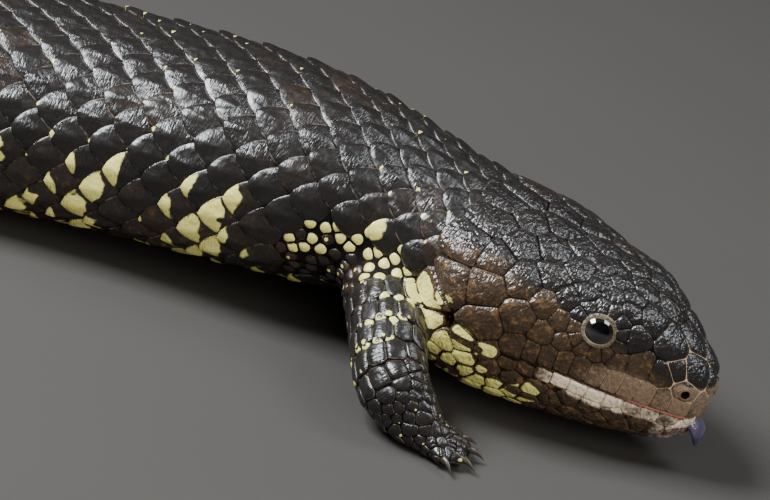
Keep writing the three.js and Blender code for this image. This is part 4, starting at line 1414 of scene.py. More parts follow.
def leg_scales(tree, scale):
    """Scales down each leg, over the palms and along the digits."""
    pieces, places = [], []
    rng = np.random.default_rng(5)
    for number, (name, limb) in enumerate(LIMBS.items()):
        tubes = [(limb_tube(limb), LEG, 0), (palm_tube(limb), PALM_PART, 0)]
        tubes += [(digit_tube(limb, digit), DIGIT_PART, k) for k, digit in enumerate(DIGITS)]
        periods = (scale.leg_period, scale.foot_period, scale.digit_period)
        widths = (scale.leg_width, scale.foot_width, scale.digit_width)
        found = []
        for tube, part, digit_number in tubes:
            rows = tube_lattice(tube, tree, *SCALED[part], periods[part], widths[part])
            place, normal, lie, along = rows
            turn = along[:, 1]
            if part == DIGIT_PART:
                turn = (turn + digit_number) / len(DIGITS)
            chart = limb_chart(number, part, along[:, 0], turn)
            sizes = np.full(len(place), widths[part]), np.full(len(place), part)
            found.append((place, normal, lie, chart, *sizes))
        place, normal, lie, chart, wide, part = (np.concatenate(rows) for rows in zip(*found))
        seeds = settle_patches(Seeds(place, normal, lie, chart))
        outline = cell_outline(seeds, LEG_SIDES, wide * 1.1, np.ones(len(seeds), int), 0.12)
        disc = Disc(LEG_SIDES, LEG_RINGS, (0.95,))
        whole = leg_marks(limb, place, normal, part, rng)
        some = rng.random(len(seeds)) < LEG_TIP["chance"]
        tip = some[:, None] * rng.uniform(*LEG_TIP["reach"], len(seeds))[:, None]

        def marks(points, b, a, reach):
            blot = whole[:, None, 0] * np.clip(0.5 + 2.5 * (0.8 - reach), 0, 1)
            spot = np.where(tip > 0, 0.5 + 2 * (tip - np.hypot(b - 0.7, a)), 0) * (reach < 0.97)
            return with_rest(np.maximum(blot, spot), whole)

        lift = cell_lift(wide[:, None] / SHIELD_SIZE, LEG_DOME, LEG_TILT)
        pieces.append(raise_plates(f"{name}_scales", seeds, disc, outline, lift, marks, tree))
        places.append(place[part == LEG])
    return pieces, np.concatenate(places)


# Yellow granules: two rows over each foreleg and a group behind it, as shares of half the girth
# and places on the spine, and how often they are yellow there and elsewhere.
YELLOW_ROWS = {"down": (0.44, 0.56), "at": (61, 90), "chance": 0.93}
YELLOW_GROUP = {"down": (0.5, 0.62), "at": (84, 110), "chance": 0.85}
YELLOW_ELSEWHERE = 0.08
YELLOW_RIMS = {"to": 64, "down": 0.5, "chance": 0.6}
GRANULES = {"sides": 14, "gap": 0.2, "most": 0.52, "top": 0.5, "dome": 0.6, "curve": 2.6, "tilt": 0.1}
GRANULE_RINGS = (0.35, 0.6, 0.8, 1.0)
GRANULE_DOT = {"reach": 0.3, "chance": 0.4}
# How far granules keep from leg scales and ears, how near a limb they start, and how far from a wrist.
GRANULE_CLEAR = {"leg": 2.4, "ear": 3.4, "wrist": 19}
GRANULE_NEAR = 6


def inside(low_high, value):
    return (value > low_high[0]) & (value < low_high[1])


def neck_marks(place, share, rng):
    """Two rows of round yellow scales over each foreleg, among dark ones with pale dots."""
    down = np.abs(share)
    rows = inside(YELLOW_ROWS["down"], down) & inside(YELLOW_ROWS["at"], place)
    group = inside(YELLOW_GROUP["down"], down) & inside(YELLOW_GROUP["at"], place)
    chance = np.where(group, YELLOW_GROUP["chance"], YELLOW_ELSEWHERE)
    chance = np.where(rows, YELLOW_ROWS["chance"], chance)
    rims = (place < YELLOW_RIMS["to"]) & (down > YELLOW_RIMS["down"])
    rims &= rng.random(len(place)) < YELLOW_RIMS["chance"]
    return (rng.random(len(place)) < chance).astype(float), rims.astype(float)


def granules(tree, skin_points, body, legs, size):
    """Small round scales beside the neck and where a leg leaves the body."""
    taken = body + [(point, GRANULE_CLEAR["leg"]) for point in legs]
    taken += [(ear_place(side), GRANULE_CLEAR["ear"]) for side in (1, -1)]
    search = KDTree(len(taken))
    for index, (point, _) in enumerate(taken):
        search.insert(Vector(point), index)
    search.balance()
    near = limb_axis_distance(skin_points) < GRANULE_NEAR
    along, share = on_body(skin_points)
    near |= fine_scaled(along, share) & (limb_axis_distance(skin_points) > -1)
    near &= along > HEAD_END - 2
    near |= along > LAST_ROW - 2
    for limb in LIMBS.values():
        wrist = limb_joints(limb)[0][2]
        near &= far(skin_points, wrist) > GRANULE_CLEAR["wrist"]
    free = []
    for point in skin_points[near]:
        _, index, away = search.find(Vector(point))
        if away > taken[index][1]:
            free.append(point)
    free = np.array(free)
    rng = np.random.default_rng(11)
    chosen, _ = scatter(free, np.full(len(free), size), [], rng, 3)
    place, normal = nearest(tree, chosen)
    along, share = on_body(place)
    seeds = Seeds(place, normal, -direction_at(along), body_chart(along, share), GRANULE_PATCH)
    sizes = np.full(len(seeds), size)
    outline = cell_outline(seeds, GRANULES["sides"], sizes, np.ones(len(seeds), int), GRANULES["gap"])
    outline = np.minimum(outline, GRANULES["most"] * size)
    round_ones, rims = neck_marks(along, share, rng)
    whole = marks_at(place)
    dots = GRANULE_DOT["reach"] * (rng.random(len(place)) < GRANULE_DOT["chance"])[:, None]

    def lift(b, a, reach, depth):
        top = GRANULES["top"] - GRANULES["dome"] * reach ** GRANULES["curve"] + GRANULES["tilt"] * b
        return np.where(depth > 0, -UNDER, top)

    def marks(points, b, a, reach):
        disc_one = round_ones[:, None] * np.clip(0.5 + 2.5 * (0.84 - reach), 0, 1)
        ring = rims[:, None] * np.clip(0.5 + 3 * (0.2 - np.abs(reach - 0.62)), 0, 1)
        dot = np.where(dots > 0, np.clip(0.5 + 2 * (dots - np.hypot(b - 0.3, a)), 0, 1), 0)
        return with_rest(np.maximum(np.maximum(disc_one, ring), dot), whole)

    disc = Disc(GRANULES["sides"], GRANULE_RINGS, (0.9,))
    return raise_plates("granules", seeds, disc, outline, lift, marks, tree)


# Shields on the head.

MIDDLE_SHIELDS = ((0.2, 0.0, 6.2), (8.6, 11.8, 6.4), (17.4, 15.6, 6.6), (1.8, -7.8, 5.2))
PAIRED_SHIELDS = (
    (4.6, 4.6, 7.6, 7.6),
    (11.4, 7.6, 11.4, 7.4),
    (17.6, 8.6, 13.8, 5.6),
    (9.6, 11.2, 5.2, 4.8),
    (14.2, 13.6, 5.2, 4.8),
    (18.0, 13.6, 10.4, 4.4),
    (18.6, 16.4, 4.6, 3.6),
)
UPPER_LIP = (4.0, 7.5, 10.9, 14.3, 17.7, 21.1, 24.5, 27.9, 31.3, 34.6, 37.8)
LOWER_LIP = (4.6, 8.2, 11.9, 15.6, 19.3, 23.0, 26.7, 30.3, 33.9, 37.4)
LIP_SIZE = 5.0
LOWER_LIP_SIZE = 2.8
# How far the lips' shields lie from the mouth line, and how far their walls are from their edges.
UPPER_LIP_GAP = 0.4
LOWER_LIP_GAP = 0.7
UPPER_WALL = 0.15
LOWER_WALL = 0.1
LIP_FLATTER = 0.35
UPPER, LOWER, BOTH = 1, 2, 3
SHIELD_SIZE = 6
NOSTRIL_SHIELD = 5.6
EYE_RING = {"count": 12, "along": 5.3, "over": 5.1, "out": 1.8, "size": 2.7}
# How far the other shields keep from the mouth line, the eye and the ear.
SHIELD_CLEAR = {"mouth": 1.6, "eye": 6.6, "ear": 3.8}
LOOSE = (30, 50)
SHIELD_TONE = 0.25
SHIELD_RINGS = (0.25, 0.45, 0.49, 0.54, 0.6, 0.68, 0.8, 0.9, 0.96, 1.0)
SHIELD_UNDER = (0.98, 0.9)
# The nose shield: how high its rim is, how deep its hole and its underside are, and in shares of its
# size where the rim, the hole's wall, the painted shade inside the hole and the round part lie.
NOSE_HOLE = {
    "rim": 0.3, "rim_at": 0.66, "rim_wide": 0.1, "deep": 1.9, "wall": (0.45, 0.58),
    "dark": (0.48, 0.58), "round": 0.65, "under": 2.6,
}
LIP_PALE = {"back": (25, 37), "least": 0.62, "more": 0.3, "from": (9, 19), "shade": 0.2}


def head_seat(tree, at, side, above):
    """The place on the skin at a height, seen from the side."""
    left = HEAD_FRAME[2]
    start = head_point(at, side * OUTSIDE, above)
    hit = tree.ray_cast(Vector(start), Vector(-side * left))
    return np.array(hit[0])


def plate_spacing(points):
    """How wide the head's shields are at points."""
    at, _, above = in_head(points)
    top = smooth(7, 11, above)
    temple = smooth(28, 36, at) * smooth(-6, -2, above) * (1 - top)
    spacing = 4.3 + top * (2.0 + 1.8 * smooth(28, 46, at)) + 3.4 * temple
    near_eye = np.full(len(points), np.inf)
    for side in (1, -1):
        near_eye = np.minimum(near_eye, far(points, eye_place(side)[0]))
    return np.minimum(spacing, 3.2 + 0.35 * np.maximum(near_eye - 6, 0))


def head_seeds(tree, skin_points):
    """Places, sizes, groups and walls of the head's shields."""
    fixed, sizes, groups, walls = [], [], [], []
    _, forward, _, up = HEAD_FRAME

    def add(point, size, group, own_walls=()):
        fixed.append(nearest(tree, [point])[0][0])
        sizes.append(size)
        groups.append(group)
        walls.append(own_walls)

    for at, above, size in MIDDLE_SHIELDS:
        group = UPPER if above > mouth_at(at) else LOWER
        add(head_point(at, 0, above), size, group)
    for side in (1, -1):
        add(nostril_place(side), NOSTRIL_SHIELD, UPPER)
        for at, aside, above, size in PAIRED_SHIELDS:
            add(head_point(at, side * aside, above), size, UPPER)
        for at in UPPER_LIP:
            above = mouth_at(at) + UPPER_LIP_GAP + LIP_SIZE / 2
            lip_walls = [-up * (LIP_SIZE / 2 + UPPER_WALL)]
            add(head_seat(tree, at, side, above), LIP_SIZE, UPPER, lip_walls)
        half = LOWER_LIP_SIZE / 2
        for at in LOWER_LIP:
            above = mouth_at(at) - LOWER_LIP_GAP - half
            lip_walls = [up * (half + LOWER_WALL), -up * (half - LOWER_WALL)]
            add(head_seat(tree, at, side, above), LOWER_LIP_SIZE, LOWER, lip_walls)
        centre, outward, tangent, over = eye_axes(side)
        for k in range(EYE_RING["count"]):
            turn = 2 * pi * (k + 0.5) / EYE_RING["count"]
            along = tangent * cos(turn) * EYE_RING["along"]
            ring = along + over * sin(turn) * EYE_RING["over"]
            add(centre + outward * EYE_RING["out"] + ring, EYE_RING["size"], UPPER)
    count = len(fixed)
    place, _ = on_body(skin_points)
    at, aside, above = in_head(skin_points)
    free = (place < HEAD_END) & (limb_axis_distance(skin_points) > LIMB_MARGIN)
    free &= np.abs(aside) < HEAD_SIDE[0]
    free &= ~((np.abs(above - mouth_at(at)) < SHIELD_CLEAR["mouth"]) & (at < MOUTH_END + 3))
    for side in (1, -1):
        free &= far(skin_points, eye_place(side)[0]) > SHIELD_CLEAR["eye"]
        free &= far(skin_points, ear_place(side)) > SHIELD_CLEAR["ear"]
    candidates = skin_points[free]
    rng = np.random.default_rng(21)
    chosen, spacing = scatter(candidates, plate_spacing(candidates), list(zip(fixed, sizes)), rng)
    at, _, above = in_head(chosen)
    from_line = above - mouth_at(at)
    later = np.where(at > MOUTH_END + 2, BOTH, np.where(from_line > 0, UPPER, LOWER))
    group = np.concatenate([groups, later[count:]]).astype(int)
    walls = walls + [()] * (len(chosen) - count)
    place, normal = nearest(tree, chosen)
    lie = np.broadcast_to(-forward, place.shape)
    seeds = settle_patches(Seeds(place, normal, lie, head_chart(place)), HEAD_PATCH)
    return seeds, spacing, group, walls


def head_shields(tree, skin_points, shield):
    """The solid shields over the head, the nose, the lips and the jaw, in four pieces."""
    seeds, size, group, walls = head_seeds(tree, skin_points)
    outline = cell_outline(seeds, shield.sides, size, group, shield.gap, walls)
    at, _, above = in_head(seeds.place)
    loose = smooth(*LOOSE, at)[:, None]
    below = mouth_at(at) - above
    near_mouth = np.abs(below) < LIP_SIZE
    flat = np.where(near_mouth & (at < MOUTH_END), LIP_FLATTER, 1.0)[:, None]
    nostril = np.zeros(len(seeds), bool)
    for side in (1, -1):
        nostril[np.argmin(far(seeds.place, nostril_place(side)))] = True
    whole = marks_at(seeds.place)
    rng = np.random.default_rng(2)
    tone = rng.uniform(-SHIELD_TONE, SHIELD_TONE, (len(seeds), 1))
    lower = group == LOWER
    lip = lower & (below > 0) & (below < LOWER_LIP_SIZE) & (at < MOUTH_END)
    parts = {
        "head_shields": (~lower & ~nostril, "hide"),
        "nose_shields": (nostril, "hide"),
        "lip_shields": (lip, "jaw_hide"),
        "jaw_shields": (lower & ~lip, "jaw_hide"),
    }
    pieces = []
    for name, (keep, slot) in parts.items():
        high = flat * size[:, None] / SHIELD_SIZE
        own, (tilt, height, base, shade) = pick(seeds, [loose, high, whole, tone], keep)
        hole = name == "nose_shields"
        under = NOSE_HOLE["under"] if hole else UNDER

        def lift(b, a, reach, depth):
            top = cell_lift(height, shield.dome, tilt, under)(b, a, reach, depth)
            if hole:
                from_rim = (reach - NOSE_HOLE["rim_at"]) / NOSE_HOLE["rim_wide"]
                hollow = NOSE_HOLE["deep"] * (1 - smooth(*NOSE_HOLE["wall"], reach))
                top = top + np.where(depth > 0, 0, NOSE_HOLE["rim"] * np.exp(-(from_rim**2)) - hollow)
            return top

        def marks(points, b, a, reach):
            own_marks = head_marks(points.reshape(-1, 3)).reshape(*b.shape, 3)
            yellow = own_marks[..., 0] * np.clip(0.5 + 3 * (0.88 - reach), 0, 1)
            brown = 0.35 * base[:, None, 1] + 0.65 * own_marks[..., 1] + shade
            cream = own_marks[..., 2] + 0.3 * shade
            if hole:
                # The inside of the nostril hole is painted dark as shade.
                unshaded = smooth(*NOSE_HOLE["dark"], reach)
                brown, cream = brown * unshaded, cream * unshaded
            if name == "lip_shields":
                behind = in_head(points.reshape(-1, 3))[0].reshape(b.shape)
                pale = LIP_PALE["least"] + LIP_PALE["more"] * smooth(*LIP_PALE["from"], behind)
                pale = (1 - smooth(*LIP_PALE["back"], behind)) * pale
                yellow, cream = yellow * 0, pale + LIP_PALE["shade"] * shade
            return np.stack([yellow, brown, cream], -1)

        disc = Disc(shield.sides, SHIELD_RINGS, SHIELD_UNDER)
        core = NOSE_HOLE["round"] if hole else 0.0
        made = raise_plates(name, own, disc, outline[keep], lift, marks, tree, core)
        pieces.append((made, slot))
    return pieces


# Mouth, eyes, lids, tongue and claws.


# The mouth's lining: its steps, and how far back it turns from facing forward to facing aside.
MOUTH_STEPS = 120
LINING_END = MOUTH_END - 2
FRONT_TURN = 12.0
# The lining's half axes, and how deep it lies under the skin, with more of it in front.
LINING = {"across": 0.9, "above": 0.5, "deep": 1.0, "deeper": 0.35, "front": (4, 30), "thinner": 0.75}
EYE_SEGMENTS, EYE_RINGS = 48, 40
# From where below the eye's middle its colour is lighter, as a painted reflection of the ground.
EYE_REFLECTION_FROM = (-0.12, 0.06)
LID_STEPS, LID_SIDES = 96, 14
LID_INNER = (0.1, 0.6)
TONGUE_STEPS, TONGUE_SIDES = 40, 20
CLAW_SEGMENTS, CLAW_RINGS = 14, 30


def mouth_route(tree):
    """Points on the smooth skin along the mouth, from its right corner round to its left."""
    _, forward, left, _ = HEAD_FRAME
    found = []
    for t in np.linspace(-1, 1, MOUTH_STEPS):
        reach = abs(t) * LINING_END
        side = -1 if t < 0 else 1
        if reach > FRONT_TURN:
            at, angle = reach, pi / 2
        else:
            at, angle = FRONT_TURN, pi / 2 * reach / FRONT_TURN
        way = forward * cos(angle) + left * (side * sin(angle))
        height = mouth_at(reach) - SLIT["below"]
        start = head_point(at, 0, height) + way * OUTSIDE
        hit = tree.ray_cast(Vector(start), Vector(-way))
        found.append((np.array(hit[0]), way, reach))
    return found


def tube_mesh(name, centres, across, above, sides=10):
    """A closed tube through centres, with the half axes of its oval at each."""
    angle = around(sides)
    rings = (
        centres[:, None]
        + across[:, None] * np.cos(angle)[None, :, None]
        + above[:, None] * np.sin(angle)[None, :, None]
    )
    count = len(centres)
    points = np.concatenate([rings.reshape(-1, 3), centres[:1], centres[-1:]])
    ring = np.arange(sides)
    after = (ring + 1) % sides
    faces = []
    for k in range(count - 1):
        a, b = k * sides, (k + 1) * sides
        faces += np.stack([a + ring, a + after, b + after, b + ring], 1).tolist()
    first, last = count * sides, count * sides + 1
    faces += [[first, int(j), int(i)] for i, j in zip(ring, after)]
    end = (count - 1) * sides
    faces += [[last, end + int(i), end + int(j)] for i, j in zip(ring, after)]
    return closed_mesh(name, points, faces)


def mouth_lining(tree):
    """The pink edge that shows between the lips."""
    route = mouth_route(tree)
    up = HEAD_FRAME[3]
    centres, across, above = [], [], []
    for point, way, reach in route:
        deep = LINING["deep"] + LINING["deeper"] * (1 - float(smooth(*LINING["front"], reach)))
        thin = 1 - LINING["thinner"] * float(smooth(18, MOUTH_END - 4, reach))
        centres.append(point - way * deep)
        across.append(way * LINING["across"])
        above.append(up * LINING["above"] * thin)
    piece = tube_mesh("mouth", np.array(centres), np.array(across), np.array(above))
    at = in_head(coordinates(piece.data) / MM)[0]
    paint_marks(piece.data, np.stack([smooth(9, 17, at)] * 3, 1))
    return piece


def make_eye(side, name):
    """The eyeball, which bulges a little where it looks."""
    centre, outward, tangent, over = eye_axes(side)

    def point_on(share, angle):
        turn = share * pi
        bulge = EYE["radius"] * (1 + EYE["bulge"] * np.exp(-((turn / EYE["bulge_wide"]) ** 2)))
        out = np.cos(turn)[..., None] * outward
        ring = np.cos(angle)[..., None] * tangent + np.sin(angle)[..., None] * over
        return centre + bulge[..., None] * (out + np.sin(turn)[..., None] * ring)

    piece = shaped_sphere(name, EYE_SEGMENTS, EYE_RINGS, point_on)
    away = unit(coordinates(piece.data) / MM - centre)
    turn = np.arccos(np.clip(away @ outward, -1, 1)) / pi
    # The eye's lower half is painted lighter as a reflection.
    low = 1 - smooth(*EYE_REFLECTION_FROM, away @ over)
    paint_marks(piece.data, np.stack([turn, low, turn], 1))
    return piece


def make_lids(side, name):
    """The ring of the two lids, thicker above."""
    centre, outward, tangent, over = eye_axes(side)
    steps, sides = LID_STEPS, LID_SIDES
    turn = around(steps)
    upper = np.maximum(np.sin(turn), 0)
    radius = LID["ring"] * (1 - LID["pinch"] * np.abs(np.sin(turn)) ** 3)
    notches = 1 + LID["notch"] * np.abs(np.sin(turn * LID["notches"]))
    thick = LID["thick"] * (1 + LID["upper"] * upper) * notches
    out = np.sqrt(np.maximum(EYE["radius"] ** 2 - radius**2, 0)) + LID["out"]
    ray = np.cos(turn)[:, None] * tangent + np.sin(turn)[:, None] * over
    core = centre + ray * radius[:, None] + outward * out[:, None]
    angle = around(sides)
    rings = (
        core[:, None]
        + ray[:, None] * thick[:, None, None] * np.cos(angle)[None, :, None]
        + outward * (thick * LID["high"])[:, None, None] * np.sin(angle)[None, :, None]
    )
    ring, step = np.meshgrid(np.arange(sides), np.arange(steps))
    next_ring, next_step = (ring + 1) % sides, (step + 1) % steps
    corners = ((step, ring), (next_step, ring), (next_step, next_ring), (step, next_ring))
    faces = np.stack([i * sides + j for i, j in corners], -1).reshape(-1, 4).tolist()
    piece = closed_mesh(name, rings.reshape(-1, 3), faces)
    inner = np.broadcast_to(-np.cos(angle)[None], (steps, sides)).reshape(-1)
    paint_marks(piece.data, np.stack([smooth(*LID_INNER, inner)] * 3, 1))
    return piece


def make_tongue():
    left = HEAD_FRAME[2]
    share = np.linspace(0, 1, TONGUE_STEPS)
    path = smooth_path([head_point(at, 0, above) for at, above in TONGUE_PATH], share)
    way = unit(np.gradient(path, axis=0))
    normal = np.cross(way, left)
    spots = np.linspace(0, 1, len(TONGUE_PATH))
    wide = curve(spots, TONGUE_WIDTH)(share)
    thick = curve(spots, TONGUE_THICKNESS)(share)
    return tube_mesh("tongue_skin", path, left * wide[:, None], normal * thick[:, None], TONGUE_SIDES)


def make_claws(name, limb):
    pieces = []
    for number, digit in enumerate(DIGITS):

        def point_on(share, angle):
            return claw_point(limb, digit, share, angle)

        pieces.append(shaped_sphere(f"{name}_{number}", CLAW_SEGMENTS, CLAW_RINGS, point_on))
    return join(pieces, name)


# Materials.

SEAM_BLACK = (0.003, 0.003, 0.003)
SEAM_BROWN = (0.010, 0.006, 0.004)
SEAM_CREAM = (0.34, 0.24, 0.15)
# Pairs of colours, mixed by soft noise or laid over each other.
IRIS = (0.004, 0.003, 0.003), (0.015, 0.011, 0.008)
EYE_OUTER = (0.012, 0.010, 0.009)
PUPIL = (0.002, 0.002, 0.002)
# Grey of the painted reflection in the eye's lower half.
EYE_REFLECTION_GREY = (0.016, 0.016, 0.019)
LID_DARK = (0.035, 0.025, 0.018), (0.11, 0.085, 0.055)
LID_PALE = (0.40, 0.35, 0.22)
MOUTH_PINK = (0.24, 0.06, 0.06), (0.40, 0.14, 0.12)
MOUTH_DARK = (0.03, 0.012, 0.010)
TONGUE_BLUE = (0.020, 0.018, 0.035), (0.065, 0.055, 0.095)
CLAW_DARK = (0.012, 0.009, 0.007), (0.05, 0.037, 0.026)
FLOOR_GREY = (0.020, 0.018, 0.016), (0.030, 0.027, 0.024)


def hide_colours(paint, colours, dark, warm, cream_colour):
    """The colours that the markings call for, with soft mottling."""
    yellow, brown, cream = paint.parts("Marks")
    mottle = paint.noise(520, 4)
    fine = paint.noise(1500, 3)
    specks = (mottle * 0.6 + fine * 0.4).step(0.5, 0.66)
    rusty = paint.mix(specks, warm, colours.rust)
    base = paint.mix((brown * (mottle * 1.2 + 0.45)).step(0.1, 0.85), dark, rusty)
    flecked = paint.mix((cream + (fine - 0.5) * 0.8).step(0.3, 0.9), base, cream_colour)
    base = paint.mix((cream + (mottle - 0.5) * 0.9).step(0.35, 0.8), base, flecked)
    pale = paint.mix(fine.step(0.3, 0.8), colours.yellow, colours.pale_yellow)
    return paint.mix((yellow + (mottle - 0.5) * 0.25).step(0.44, 0.54), base, pale)


def painted_edge_highlight(paint, base, share, highlight_colour):
    """Thin pale edges round plates and scales: a painted highlight on their rims."""
    edge = paint.node("ShaderNodeAttribute", {"attribute_name": "Marks"}, output="Alpha")
    highlight_mask = paint.noise(600, 3).step(0.4, 0.65)
    line = edge.step(0.9, 0.96) - edge.step(0.98, 1.0)
    return paint.mix(line * highlight_mask * share, base, highlight_colour)


def crest(value):
    """Turns soft noise into sharp ridges."""
    signed = value * 2 - 1
    return 1 - signed.math("ABSOLUTE", signed)


def skin_material(colours):
    """Dark skin in the seams between the scales."""
    paint = Paint("Hide")
    base = hide_colours(paint, colours, SEAM_BLACK, SEAM_BROWN, SEAM_CREAM)
    grain = paint.cells(900)
    return paint.finish(base=base, rough=0.85, normal=paint.bump(grain, 0.0002, 0.5), shine=0.1)


def scale_material(colours):
    """Dark horn with fine ridges across each scale."""
    paint = Paint("Scales")
    lie = paint.uv("Lie")
    ridges = crest(paint.noise(1.0, 2, paint.stretch(lie, 13.0, 3.5)))
    hatched = paint.noise(1.0, 1, paint.stretch(lie, 1.3, 1.3)).step(0.42, 0.6)
    coarse = paint.noise(1.0, 2, paint.stretch(lie, 2.5, 3.5))
    base = hide_colours(paint, colours, colours.near_black, colours.dark_brown, colours.tan)
    # Pale rims on the scales are a painted highlight.
    base = painted_edge_highlight(paint, base, 0.9, colours.edge_highlight)
    height = ridges * (hatched * 0.45 + 0.15) + coarse * 0.8
    rough = paint.noise(700, 3).step(0.3, 0.75) * 0.14 + 0.25
    normal = paint.bump(height, 0.0005, 0.9)
    return paint.finish(base=base, rough=rough, normal=normal)


def shield_material(name, colours, dark, cream_colour):
    """Glossy, pitted and wrinkled horn of the head."""
    paint = Paint(name)
    base = hide_colours(paint, colours, dark, colours.brown, cream_colour)
    # Pale rims on the shields are a painted highlight.
    base = painted_edge_highlight(paint, base, 0.2, colours.edge_highlight)
    lie = paint.uv("Lie")
    pits = paint.cells(1100)
    wrinkles = crest(paint.noise(1.0, 2, paint.stretch(lie, 7.0, 4.0)))
    swell = paint.noise(260, 2)
    height = pits * 0.12 + wrinkles * 0.9 + swell * 1.3
    rough = paint.noise(900, 3).step(0.3, 0.75) * 0.2 + 0.22
    return paint.finish(base=base, rough=rough, normal=paint.bump(height, 0.0006, 0.9))


def eye_material():
    paint = Paint("Eye")
    turn, low, _ = paint.parts("Marks")
    streaks = paint.noise(2500, 2)
    iris = paint.mix(streaks, *IRIS)
    outer = paint.mix(turn.step(0.225, 0.25), iris, EYE_OUTER)
    dark = paint.mix(turn.step(0.165, 0.175), PUPIL, outer)
    # The painted reflection lightens the eye's lower half.
    base = paint.mix(low * 0.7, dark, EYE_REFLECTION_GREY)
    return paint.finish(base=base, rough=0.05, coat=1.0)


def lid_material():
    paint = Paint("Lids")
    inner = paint.parts("Marks")[0]
    outer = paint.mix(paint.noise(1200, 3), *LID_DARK)
    base = paint.mix(inner.step(0.35, 0.85), outer, LID_PALE)
    return paint.finish(base=base, rough=0.45, normal=paint.bump(paint.cells(1600), 0.0003, 0.8))


def mouth_material():
    paint = Paint("Mouth lining")
    pink = paint.mix(paint.noise(500, 2), *MOUTH_PINK)
    base = paint.mix(paint.parts("Marks")[0], pink, MOUTH_DARK)
    return paint.finish(base=base, rough=0.3, coat=0.5)


def tongue_material():
    paint = Paint("Tongue")
    base = paint.mix(paint.noise(350, 2), *TONGUE_BLUE)
    return paint.finish(base=base, rough=0.22, normal=paint.bump(paint.cells(1800), 0.00012, 0.6))


def claw_material():
    paint = Paint("Claws")
    base = paint.mix(paint.noise(300, 3), *CLAW_DARK)
    return paint.finish(base=base, rough=0.35)


# The stage.

AIMED_AT = (25, -17.5, 9)
EYE_OFF_CENTRE = (215, 82)
PHOTO_WIDTH = 770
SENSOR = 36
FLOOR_SIZE = 6
LIT_PLACE = 60
# Each lamp's size, colour, whether it shows in glossy surfaces, and its way from the animal: to the
# camera's right, up and back.
LAMPS = {
    "key": (0.38, (0.94, 0.97, 1.0), True, (-0.44, 0.82, 0.36)),
    "side": (0.45, (0.90, 0.95, 1.0), True, (0.75, 0.62, 0.15)),
    "front": (1.0, (1.0, 0.97, 0.92), False, (0.45, -0.05, 0.9)),
}


def place_camera(settings):
    """The photo's view: the right eye lies as far from the picture's middle as it does there."""
    azimuth, elevation, roll = settings.azimuth, settings.elevation, settings.roll
    back = np.array(
        [
            sin(azimuth) * cos(elevation),
            -cos(azimuth) * cos(elevation),
            sin(elevation),
        ]
    )
    level = np.array([cos(azimuth), sin(azimuth), 0])
    upward = np.cross(back, level)
    right = level * cos(roll) + upward * sin(roll)
    top = upward * cos(roll) - level * sin(roll)
    centre = head_point(*AIMED_AT) + back * settings.distance / MM
    eye = eye_place(-1)[0] + eye_place(-1)[1] * EYE["radius"] - centre
    depth = -(eye @ back)
    per_pixel = depth * SENSOR / PHOTO_WIDTH / settings.lens
    aim_x, aim_y = EYE_OFF_CENTRE[0] * per_pixel, -EYE_OFF_CENTRE[1] * per_pixel
    centre = centre + right * (eye @ right - aim_x) + top * (eye @ top - aim_y)
    deselect()
    bpy.ops.object.camera_add()
    camera = bpy.context.active_object
    camera.name = "Camera"
    turned = Matrix(np.stack([right, top, back], 1).tolist()).to_4x4()
    camera.matrix_world = Matrix.Translation(Vector(centre * MM)) @ turned
    camera.data.lens = settings.lens
    camera.data.sensor_width = SENSOR
    camera.data.clip_start = 0.01
    bpy.context.scene.camera = camera
    return right, top, back


def add_lamp(name, size, power, place, target, colour, mirrored):
    deselect()
    bpy.ops.object.light_add(type="AREA", location=place)
    lamp = bpy.context.active_object
    lamp.name = name
    lamp.data.size = size
    lamp.data.energy = power
    lamp.data.color = colour
    lamp.visible_glossy = mirrored
    lamp.rotation_euler = (Vector(target) - Vector(place)).to_track_quat("-Z", "Y").to_euler()
    return lamp


def build_stage(settings):
    """A plain floor, soft lamps and the photo's camera."""
    deselect()
    bpy.ops.mesh.primitive_plane_add(size=FLOOR_SIZE, location=(0, 0, 0))
    floor = bpy.context.active_object
    floor.name = "floor"
    paint = Paint("Floor")
    shade = paint.mix(paint.noise(3, 3), *FLOOR_GREY)
    floor.data.materials.append(paint.finish(base=shade, rough=0.9))
    right, top, back = place_camera(settings)
    target = head_point(LIT_PLACE, 0, 0) * MM
    for name, (size, colour, mirrored, (across, over, behind)) in LAMPS.items():
        place = target + (right * across + top * over + back * behind) * settings.lamp_distance
        power = getattr(settings, f"{name}_power")
        add_lamp(name.title(), size, power, place, target, colour, mirrored)


# Settings, one group for each kind of piece.


def millimetres(name, description, default):
    return FloatProperty(name=name, description=f"{description}, in mm", default=default)


class SkinSettings(bpy.types.PropertyGroup):
    voxel: FloatProperty(
        name="Grain", description="Edge of the skin's mesh", default=0.0012, min=0.0008, unit="LENGTH"
    )


class ScaleSettings(bpy.types.PropertyGroup):
    sides: IntProperty(name="Sides", description="Corners of a body scale", default=24, min=8)
    overlap: FloatProperty(name="Overlap", description="Rear length per row period", default=0.62)
    breadth: FloatProperty(name="Breadth", description="Half width of a scale over its column", default=0.53)
    front: millimetres("Front", "Front edge's height on the largest", -1.0)
    rear: millimetres("Rear", "Rear edge's height on the largest", 1.8)
    crown: millimetres("Crown", "Swell of the middle", 0.5)
    keel: millimetres("Keel", "Height of the middle ridge", 0.4)
    rounding: millimetres("Rounding", "Drop of the rim", 0.28)
    under: millimetres("Under", "Depth below the skin", -0.9)
    leg_period: millimetres("Leg rows", "Row period on a leg", 7.2)
    leg_width: millimetres("Leg width", "Scale width on a leg", 4.3)
    foot_period: millimetres("Palm rows", "Row period on a palm", 4.6)
    foot_width: millimetres("Palm width", "Scale width on a palm", 2.8)
    digit_period: millimetres("Digit rows", "Row period on a digit", 3.8)
    digit_width: millimetres("Digit width", "Scale width on a digit", 2.3)
    granule: millimetres("Granule", "Width of a granular scale", 3.0)


class HeadSettings(bpy.types.PropertyGroup):
    sides: IntProperty(name="Sides", description="Corners of a shield", default=28, min=12)
    gap: millimetres("Seam", "Gap between shields", 0.08)
    dome: millimetres("Dome", "Swell of a 6 mm shield", 0.42)


